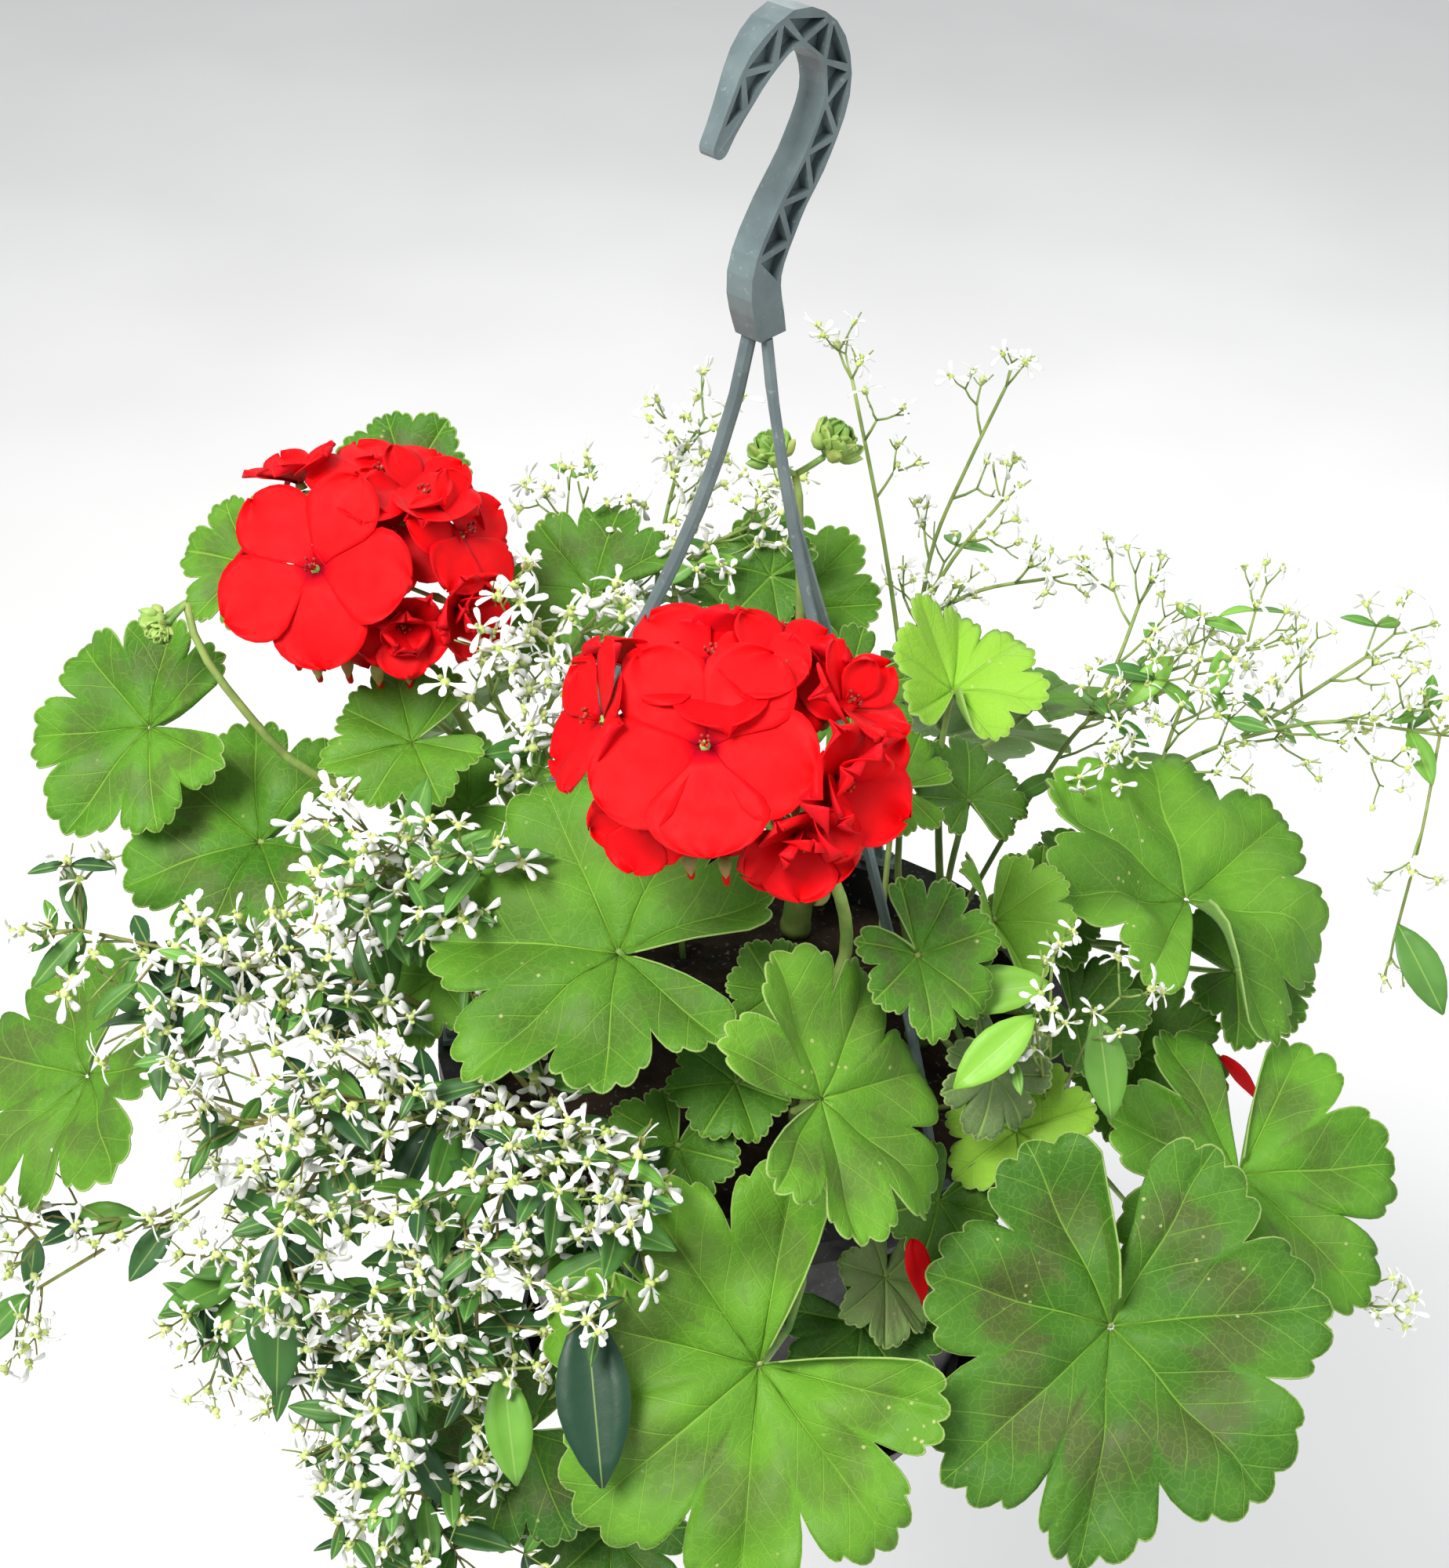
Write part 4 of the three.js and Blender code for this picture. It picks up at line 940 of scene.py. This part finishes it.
def young_leaf(spot, root, rng):
    """A small blade and its stalk, which springs from the stem at root."""
    x, y, z, lean, toward, width = spot
    lean, toward = math.radians(lean), math.radians(toward)
    up = np.array([math.sin(lean) * math.cos(toward), math.sin(lean) * math.sin(toward), math.cos(lean)])
    joint = np.array(RIM_MIDDLE) + np.array([x, y, z]) * MM
    turn = basis(up, unit((joint - root) * (1, 1, 0)) + 0.4 * rng.standard_normal(3))
    form = leaf_form("young", rng)
    # Young leaves low among the stems get painted shade
    form.update(shade=rng.uniform(0.1, 0.7), depth=rng.uniform(0.1, 0.24), zone=rng.uniform(0, 0.35))
    grid, values = leaf_grid(width * MM, rng, form)
    middle = (joint + root) / 2 - 0.12 * np.linalg.norm(joint - root) * up
    stalk = curve_through([joint + 0.3 * MM * up, middle, root], 10)
    blade = sheet(grid @ turn.T + joint, LEAF_THICK, LEAF, **values)
    return [blade, tube(stalk, 1.1 * MM, 7, STEM, ruddy=0.15)]


def woody_stem(name, index):
    """A knobbly stem with stipules at its joints and young leaves around it."""
    low, high = (np.array(corner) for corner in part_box(name))
    points, _ = welded(name)
    rings = ring_centres(points, CAD_STEM_GAP)
    line = curve_through(sorted(rings, key=lambda ring: ring[2]), 28)
    rng = source("stem", index)
    radius = np.full(len(line), 0.46 * min(high[0] - low[0], high[1] - low[1]))
    radius = np.minimum(radius, THICKEST_STEM)
    radius *= 1 + 0.12 * np.clip(np.sin(np.linspace(0, 22, len(line)) + rng.uniform(0, 6)), 0, 1) ** 4
    radius[-2:] *= (0.86, 0.5)
    parts = [tube(line, radius, 14, STEM, ruddy=0.25)]
    for k in range(6):
        at = line[4 + 4 * k]
        way = unit(onring(1, 137 * k) + (0, 0, 0.8))
        grid, _ = petal_grid(9 * MM, 7 * MM, rng, ruffle=0.6, rows=6, cols=5)
        turn = basis(unit(np.cross(way, any_across(way))), way)
        world = grid @ turn.T + at + 4 * MM * unit(way * (1, 1, 0))
        parts.append(sheet(world, SMALL_LEAF_THICK, STEM, ruddy=0.4))
    for k, spot in enumerate(YOUNG_LEAVES[name.rsplit("_", 1)[1]]):
        parts.extend(young_leaf(spot, line[12 + 3 * (k % 5)], rng))
    mesh_piece(name + "_stem", parts, [STEM, LEAF], [name])


def soil_point(centre, radius, share, angle):
    """A place on the crumbled top of the soil, which sinks a little toward the pot's wall."""
    x, y = radius * share * math.cos(angle), radius * share * math.sin(angle)
    loose = 1 - share ** 6
    lumps = noise.fractal(Vector((x, y, 0)) * SOIL_LUMPS, 0.8, 2.2, 3)
    crumbs = noise.cell(Vector((x, y, 3)) * SOIL_CRUMBS)
    sunk = SOIL_SLOPE * share ** 2 + 0.8 * MM
    return centre + (x, y, (1.5 * lumps + 0.7 * crumbs) * loose * MM - sunk)


def soil_surface():
    """The soil's crumbled top over a plain cone that fills the pot."""
    low, high = (np.array(corner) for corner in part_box("soil"))
    radius = 0.995 * (high[0] - low[0]) / 2
    top = (low + high) / 2 * (1, 1, 0) + (0, 0, high[2])
    foot = top * (1, 1, 0) + (0, 0, low[2])
    cad_points, _ = welded("soil")
    lowest = cad_points[cad_points[:, 2] < low[2] + 1 * MM]
    foot_radius = 0.99 * np.linalg.norm(lowest - foot, axis=1).max()
    angles = np.linspace(0, 2 * math.pi, SOIL_SIDES, endpoint=False)
    shares = np.linspace(0.01, 1, SOIL_RINGS)
    points = [soil_point(top, radius, share, a) for share in shares for a in angles]
    points += [foot + foot_radius * np.array([math.cos(a), math.sin(a), 0]) for a in angles]
    index = np.arange(len(points)).reshape(-1, SOIL_SIDES)
    nearer, further = index[:-1], index[1:]
    walls = np.stack([nearer, further, np.roll(further, -1, 1), np.roll(nearer, -1, 1)], axis=-1)
    hub, base, last = len(points), len(points) + 1, index[-1]
    inner = [[hub, i, (i + 1) % SOIL_SIDES] for i in range(SOIL_SIDES)]
    under = [[base, last[(i + 1) % SOIL_SIDES], last[i]] for i in range(SOIL_SIDES)]
    points += [top - (0, 0, 0.8 * MM), foot]
    faces = walls.reshape(-1, 4)[:, [0, 1, 2, 0, 2, 3]].reshape(-1, 3).tolist() + inner + under
    mesh_piece("soil_crumbs", [part(points, faces, SOIL)], [SOIL], ["soil"])


# ---------------------------------------------------------------- spurge

def bract(rng, length, width):
    """One white bract along +Y: a narrow strap that widens into a round-ended paddle."""
    t = np.array([0.0, 0.35, 0.66, 0.88, 1.0])
    half = width / 2 * np.array([0.2, 0.4, 0.95, 1.0, 0.5])
    across = np.array([-1, 0, 1])
    x = half[:, None] * across[None]
    y = np.broadcast_to((length * t)[:, None], x.shape)
    z = length * (0.3 * t - 0.42 * t ** 2 * rng.uniform(0.3, 1.5))[:, None] + 0.2 * np.abs(x)
    return sheet(np.stack([x, y, z], axis=2), BRACT_THICK, BRACT, share=t[:, None])


def bloom_kinds(rng, count):
    """Several blooms facing +Z: four or five uneven bracts around a pale green bead."""
    kinds = []
    for _ in range(count):
        petals = rng.choice([3, 4, 4, 5])
        parts = []
        spin = rng.uniform(0, 6)
        for k in range(petals):
            one = bract(rng, rng.uniform(5.4, 9.2) * MM, rng.uniform(2.1, 2.9) * MM)
            turn = spin + 2 * math.pi * k / 4.6 + rng.uniform(-0.5, 0.5)
            lift = math.radians(rng.uniform(-15, 45))
            parts.append(moved(one, about_z(turn) @ about_x(lift), (0, 0, 0.5 * MM)))
        bead = [(0.5, -1.6), (1.45, -0.4), (1.6, 0.6), (1.1, 1.7), (0.1, 2.2)]
        parts.append(lathe([(r * MM, z * MM) for r, z in bead], 6, BEAD, ruddy=0.0))
        for k in range(2):
            pip = lathe([(0.2 * MM, 0), (0.95 * MM, 0.9 * MM), (0.15 * MM, 1.9 * MM)], 5, BEAD, ruddy=0.3)
            parts.append(moved(pip, np.eye(3), onring(1.9 * MM, 150 * k + 40) + (0, 0, 0.6 * MM)))
        kinds.append(parts)
    return kinds


def spurge_leaf(rng, length, width, tone, shade):
    """An oval leaf along +Y with a raised fold along its middle."""
    t = np.linspace(0.0, 1, 8)
    half = width / 2 * np.sin(math.pi * np.clip(t * 0.97 + 0.02, 0, 1)) ** 0.8
    across = np.linspace(-1, 1, 5)
    x = half[:, None] * across[None]
    y = np.broadcast_to((length * t)[:, None], x.shape)
    bend = rng.uniform(0.05, 0.3)
    z = 0.35 * np.abs(x) - bend * length * (t ** 2)[:, None]
    grid = np.stack([x, y, z], axis=2)
    return sheet(grid, SMALL_LEAF_THICK, SPURGE_LEAF, beside_mm=x / MM, tone=tone, shade=shade)


# Leaves that stand out on their own: foot and tip over the rim's middle (mm), then tone and painted shade
LONE_LEAVES = {
    "14": [((91, -70, 75), (59, -84, 86), 0.9, 0), ((85, -84, 74), (61, -96, 55), 1, 0),
           ((108, -60, 54), (112, -74, 25), 0.5, 0.2)],
    "12": [((140, 60, 112), (125, 52, 97), 0.8, 0), ((158, 62, 115), (154, 58, 98), 0.6, 0)],
    "13": [((217, 10, 37), (230, 0, 8), 0.3, 0.3)], "06": [((-50, -148, 13), (-46, -150, -40), 0, 1)],
    "01": [((-77, -140, -23), (-74, -140, -58), 0.5, 0)],
    "02": [((-161, -90, -38), (-175, -92, -65), 0.3, 0), ((-150, -96, -11), (-151, -98, -60), 0.1, 0.6)],
    "03": [((-203, -66, -31), (-229, -66, -32), 0.4, 0), ((-189, -80, -19), (-200, -82, -40), 0, 0.6)],
}


class Growth:
    """Grows twigs, leaves and blooms on one spray, clear of what already stands."""

    def __init__(self, rng, manner):
        self.rng, self.manner = rng, manner
        self.parts = []

    def clear(self, point, gap):
        """Whether a point is inside the allowed box, off every leaf and not in front of a big one."""
        box = zip(cad_low, point, cad_high, SPARE)
        inside = all(lo - 0.6 * spare < p < hi + 0.6 * spare for lo, p, hi, spare in box)
        _, _, _, distance = OBSTACLES.find_nearest(Vector(point), gap)
        if not inside or distance is not None:
            return False
        past = Vector(point) - EYE
        hit, _, _, _ = OPEN_BLADES.ray_cast(Vector(point), past.normalized(), HIDING_REACH)
        return hit is None

    def bloom(self, at, way, scale):
        """A bloom, where there is room for it and no other is too near."""
        if any(np.linalg.norm(at - other) < self.manner["spacing"] for other in near_blooms(at)):
            return
        if not self.clear(at + 2 * MM * way, 2.2 * MM):
            return
        remember_bloom(at)
        facing = basis(unit(way + 0.5 * self.rng.standard_normal(3)), any_across(way))
        spin = self.rng.uniform(0, 2 * math.pi)
        facing = facing @ about_z(spin)
        kind = BLOOMS[self.rng.integers(len(BLOOMS))]
        for one in kind:
            self.parts.append(moved(one, facing, at, scale))

    def leaf(self, at, way, length):
        """A pair of leaves across a stem, each where there is room for it."""
        rng, manner = self.rng, self.manner
        across = turned(any_across(way), way, rng.uniform(0, 2 * math.pi))
        forward = unit(0.55 * way + across + (0, 0, -0.1))
        up = unit(np.array([0, -0.35, 1.0]) + 0.35 * rng.standard_normal(3))
        for side in (1, -1):
            ahead = unit(forward if side > 0 else 0.55 * way - across)
            if not self.clear(at + 0.55 * length * ahead, 1.6 * MM):
                continue
            width = length * rng.uniform(0.3, 0.42)
            # Each leaf gets a tone and some painted shade, up to its spray's share
            tone, shade = rng.uniform(0, manner["tone"]), rng.uniform(0, manner["shade"])
            one = spurge_leaf(rng, length, width, tone, shade)
            self.parts.append(moved(one, basis(up, ahead), at))

    def lone_leaf(self, foot, tip, tone, shade, lines):
        """One leaf seen on its own, on a side stem from the nearest point of the spray."""
        foot, tip = (np.array(RIM_MIDDLE) + np.array(p) * MM for p in (foot, tip))
        points = np.concatenate(lines)
        root = points[np.linalg.norm(points - foot, axis=1).argmin()]
        bend = (root + foot) / 2 + (0, -4 * MM, 2 * MM)
        self.parts.append(tube(curve_through([root, bend, foot], 10), 0.55 * MM, 6, TWIG, ruddy=0.3))
        if np.linalg.norm(foot - root) > LONG_SIDE_STEM:
            for start in (bend, foot):
                self.twig(start, unit(foot - root + (0, 0, 10 * MM)), 0.8 * self.manner["length"], 2)
        length = np.linalg.norm(tip - foot)
        one = spurge_leaf(self.rng, length, 0.42 * length, tone, shade)
        self.parts.append(moved(one, basis((0, -0.66, 0.75), tip - foot), foot))

    def twig(self, start, way, length, level):
        """A twig that forks until its level is spent, with a bloom at each end and most forks."""
        rng, manner = self.rng, self.manner
        way = unit(way + 0.2 * rng.standard_normal(3))
        bent = unit(way + manner["seek"] * 0.5)
        line = [start, start + 0.5 * length * way, start + 0.5 * length * way + 0.5 * length * bent]
        if not self.clear(line[2], 1.5 * MM):
            return
        radius = (0.34 + 0.1 * level) * MM
        radii = [radius, 0.9 * radius, 0.8 * radius]
        self.parts.append(tube(line, radii, 5, TWIG, ruddy=rng.uniform(0, 0.8) * manner["ruddy"]))
        if level == 0:
            self.bloom(line[2], bent, rng.uniform(0.8, 1.15) * manner["bloom"])
            return
        if rng.random() < manner["twig_leaf"]:
            self.leaf(line[2], bent, rng.uniform(7, 13) * MM * (1 + 0.25 * level))
        if rng.random() < manner["fork_bloom"]:
            forward = unit(bent + (0, -0.4, 0.6))
            self.bloom(line[2] + 2 * MM * bent, forward, rng.uniform(0.8, 1.1) * manner["bloom"])
        across = turned(any_across(bent), bent, rng.uniform(0, 2 * math.pi))
        for side in (1, -1):
            spread = math.radians(rng.uniform(24, 44))
            child = unit(math.cos(spread) * bent + side * math.sin(spread) * across)
            self.twig(line[2], child, length * rng.uniform(0.62, 0.85), level - 1)

    def stems(self, lines):
        """A tube along each of the spray's lines, the main one first, and what grows on it."""
        for k, line in enumerate(lines):
            stem = curve_through(line, max(6, 5 * (len(line) - 1)))
            radii = np.linspace(0.8 if k else 1.15, 0.6, len(stem)) * MM
            self.parts.append(tube(stem, radii, 7, TWIG, ruddy=0.5 * self.manner["ruddy"]))
            self.along(stem, 0.25 if k else self.manner["bare"])

    def along(self, stem, bare):
        """Twigs and leaves in steps along a stem past its bare share, and three twigs at its end."""
        rng, manner = self.rng, self.manner
        steps = np.linalg.norm(np.diff(stem, axis=0), axis=1)
        travelled = np.concatenate([[0], np.cumsum(steps)])
        at = bare * travelled[-1]
        while at < travelled[-1]:
            point = np.array([np.interp(at, travelled, stem[:, c]) for c in range(3)])
            here = min(int(np.searchsorted(travelled, at)), len(stem) - 1)
            way = unit(stem[here] - stem[here - 1])
            across = turned(any_across(way), way, rng.uniform(0, 2 * math.pi))
            self.twig(point, unit(0.7 * way + across + manner["seek"]), manner["length"], manner["level"])
            if rng.random() < manner["leafy"]:
                self.leaf(point, way, rng.uniform(0.5, 1) * manner["leaf"])
            at += manner["step"] * rng.uniform(0.8, 1.2)
        end = unit(stem[-1] - stem[-2])
        for _ in range(3):
            way = unit(end + 0.5 * rng.standard_normal(3))
            self.twig(stem[-1], way, 0.8 * manner["length"], max(1, manner["level"] - 1))


# How a spray grows: where its twigs tend to, their length, forks and spacing, how much of the main
# stem is bare, its chances of blooms and leaves, their sizes, the leaves' colours and painted shade, and
# the stems' colours
LUSH = {
    "seek": np.array([-0.05, -0.5, 0.45]), "length": 15 * MM, "level": 2, "step": 7 * MM, "bare": 0.3,
    "fork_bloom": 0.8, "bloom": 1.0, "spacing": 8.5 * MM, "leafy": 0.6, "twig_leaf": 0.22, "leaf": 30 * MM,
    "tone": 0.3, "shade": 1.0, "ruddy": 1.0,
}
AIRY = {
    "seek": np.array([0.15, -0.15, 0.6]), "length": 14 * MM, "level": 2, "step": 12 * MM, "bare": 0.55,
    "fork_bloom": 0.5, "bloom": 0.74, "spacing": 6 * MM, "leafy": 0.2, "twig_leaf": 0.06, "leaf": 26 * MM,
    "tone": 0.8, "shade": 0.2, "ruddy": 0.25,
}
# What sets a spray apart from the others of its sort
SPRAY_WAYS = {
    "02": {"step": 12 * MM, "leafy": 1.0},
    "03": {"bare": 0.94, "leafy": 0.2, "twig_leaf": 0.0, "fork_bloom": 0.3, "length": 11 * MM},
    "04": {"bare": 0.42, "seek": np.array([0.3, -0.5, 0.4])}, "08": {"shade": 0.3},
    "09": {**AIRY, "bloom": 1.0, "step": 9 * MM, "bare": 0.4},
    "10": {"bloom": 0.85, "step": 9 * MM, "bare": 0.4},
    "11": {"bare": 0.8, "step": 24 * MM, "length": 11 * MM}, "14": {**AIRY, "bare": 0.7, "step": 16 * MM},
}

bloom_cells = {}


def bloom_cell(at):
    """The cell that a bloom is kept in, so that only near ones are looked through."""
    return tuple(int(c) for c in np.floor(np.asarray(at) / BLOOM_CELL))


def remember_bloom(at):
    bloom_cells.setdefault(bloom_cell(at), []).append(np.array(at))


def near_blooms(at):
    cx, cy, cz = bloom_cell(at)
    return [p for x in (-1, 0, 1) for y in (-1, 0, 1) for z in (-1, 0, 1)
            for p in bloom_cells.get((cx + x, cy + y, cz + z), ())]


def spurge_spray(name, index):
    """The finished growth of one spray: lush at the front left, where it spills over, else airy."""
    rng = source("spurge", index)
    low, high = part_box(name)
    lush = (low[0] + high[0]) / 2 < RIM_MIDDLE[0] and low[1] < RIM_MIDDLE[1]
    growth = Growth(rng, {**(LUSH if lush else AIRY), **SPRAY_WAYS.get(name[-2:], {})})
    lines = spray_lines(name)
    growth.stems(lines)
    for leaf in LONE_LEAVES.get(name[-2:], ()):
        growth.lone_leaf(*leaf, lines)
    mesh_piece(name + "_shoots", growth.parts, [BRACT, BEAD, SPURGE_LEAF, TWIG], [name])


# ---------------------------------------------------------------- hard parts

def soften(name, material, width, angle=30):
    """A CAD node kept as it is, with its finish, rounded edges and smooth curved faces."""
    node = nodes[name]
    node.data.materials.clear()
    node.data.materials.append(material)
    bevel = node.modifiers.new("rounded_edges", "BEVEL")
    bevel.width = width
    bevel.segments = 2
    bevel.limit_method = "ANGLE"
    bevel.angle_limit = math.radians(angle)
    bevel.harden_normals = True
    for polygon in node.data.polygons:
        polygon.use_smooth = True


def open_blades(leaf_grids):
    """A search tree of the big leaves' middles, which nothing grows in front of."""
    points, faces = [], []
    for name in OPEN_LEAVES:
        grid = leaf_grids[leaf_names.index(name)]
        inner = grid[:int(0.8 * len(grid)), ::4]
        faces.extend(map(tuple, grid_faces(*inner.shape[:2], start=len(points))))
        points.extend(map(tuple, inner.reshape(-1, 3)))
    return BVHTree.FromPolygons(points, faces)


def obstacles(leaf_grids):
    """A search tree of the leaf blades and hard parts, which the spurge grows clear of."""
    points, faces = [], []
    for grid in leaf_grids:
        coarse = grid[:, ::3]
        quads = grid_faces(*coarse.shape[:2], start=len(points))
        points.extend(map(tuple, coarse.reshape(-1, 3)))
        faces.extend(map(tuple, quads))
    for name in HARD_PARTS:
        mesh = nodes[name].data
        start = len(points)
        points.extend(tuple(v.co) for v in mesh.vertices)
        faces.extend(tuple(start + i for i in p.vertices) for p in mesh.polygons)
    return BVHTree.FromPolygons(points, faces)


# ---------------------------------------------------------------- stage

RIM_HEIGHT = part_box("pot")[1][2]
RIM_MIDDLE = Vector([(a + b) / 2 for a, b in zip(*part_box("pot"))][:2] + [RIM_HEIGHT])


def add_camera():
    """Looks down at about forty degrees from a metre away, as a person holding a phone would."""
    distance, elevation = 1.0, math.radians(40)
    aim_up, aim_left = math.radians(4.7), math.radians(0.79)
    camera = bpy.data.objects.new("camera", bpy.data.cameras.new("camera"))
    camera.data.sensor_width = 36
    camera.data.lens = 66.6
    camera.location = RIM_MIDDLE + distance * Vector((0, -math.cos(elevation), math.sin(elevation)))
    pitch = elevation - aim_up
    level = Vector((-math.sin(aim_left), math.cos(aim_left), 0))
    ahead = math.cos(pitch) * level - Vector((0, 0, math.sin(pitch)))
    camera.rotation_mode = "QUATERNION"
    camera.rotation_quaternion = ahead.to_track_quat("-Z", "Y")
    bpy.context.scene.collection.objects.link(camera)
    bpy.context.scene.camera = camera


def add_area(name, at, size, power, colour=(1, 1, 1)):
    """A square light at a place over the rim's middle, facing it."""
    light = bpy.data.objects.new(name, bpy.data.lights.new(name, "AREA"))
    light.data.size = size
    light.data.energy = power
    light.data.color = colour
    light.location = RIM_MIDDLE + Vector(at)
    light.rotation_mode = "QUATERNION"
    light.rotation_quaternion = (-Vector(at)).to_track_quat("-Z", "Y")
    bpy.context.scene.collection.objects.link(light)


def add_stage():
    """A plain pale floor below the hanging basket, a soft sky and three soft lights."""
    world = bpy.data.worlds.new("studio")
    bpy.context.scene.world = world
    world.use_nodes = True
    world.node_tree.nodes["Background"].inputs["Color"].default_value = (0.95, 0.97, 1.0, 1)
    world.node_tree.nodes["Background"].inputs["Strength"].default_value = 0.52
    add_area("key", (-0.7, -0.9, 1.5), 0.7, 46, (1.0, 0.98, 0.94))
    add_area("fill", (1.2, -0.4, 0.8), 1.2, 7)
    add_area("back", (0.2, 1.3, 0.9), 1.2, 8)
    mesh = bpy.data.meshes.new("floor")
    reach = 6.0
    level = cad_low[2] - 0.35
    mesh.from_pydata([(-reach, -reach, level), (reach, -reach, level), (reach, reach, level),
                      (-reach, reach, level)], [], [(0, 1, 2, 3)])
    floor = bpy.data.objects.new("floor", mesh)
    paint = Shader("floor", 0.9, 0.1)
    tint = paint.mix(paint.patches(3, 2, 0.3, 0.7), rgb(244, 244, 243), rgb(250, 250, 249))
    mesh.materials.append(paint.colour(tint))
    bpy.context.scene.collection.objects.link(floor)
    bpy.context.scene.view_settings.view_transform = "Standard"


# ---------------------------------------------------------------- the basket

add_camera()
add_stage()

SPARE = [0.03 * (hi - lo) + 10 * MM for lo, hi in zip(cad_low, cad_high)]
soften("pot", POT, 0.5 * MM)
soften("saucer", POT, 0.5 * MM)
soften("hanger_hook", HANGER, 0.45 * MM)
for side in ("left", "right", "back"):
    soften(f"hanger_strand_{side}", HANGER, 0.3 * MM, 50)
soil_surface()

leaf_names = named("geranium_leaf_")
blades = [geranium_leaf(name, i) for i, name in enumerate(leaf_names)]
for i, name in enumerate(named("geranium_stem_")):
    woody_stem(name, i)
flower_head("flower_head_front", FRONT_FLORETS, 0)
flower_head("flower_head_left", LEFT_FLORETS, 1)
bud_head("bud_head_back", 0, [(-9, 1, -30, 40, 19), (8, -1, 30, 10, 21)])
bud_head("bud_head_left", 1, [(-3, 0, -20, 0, 15), (5, 2, 50, 20, 11)])
for i, name in enumerate(named("fallen_petal_")):
    fallen_petal(name, i)

EYE = bpy.context.scene.camera.location.copy()
OBSTACLES = obstacles(blades)
OPEN_BLADES = open_blades(blades)
BLOOMS = bloom_kinds(source("bloom"), 8)
for i, name in enumerate(named("spurge_spray_")):
    spurge_spray(name, i)
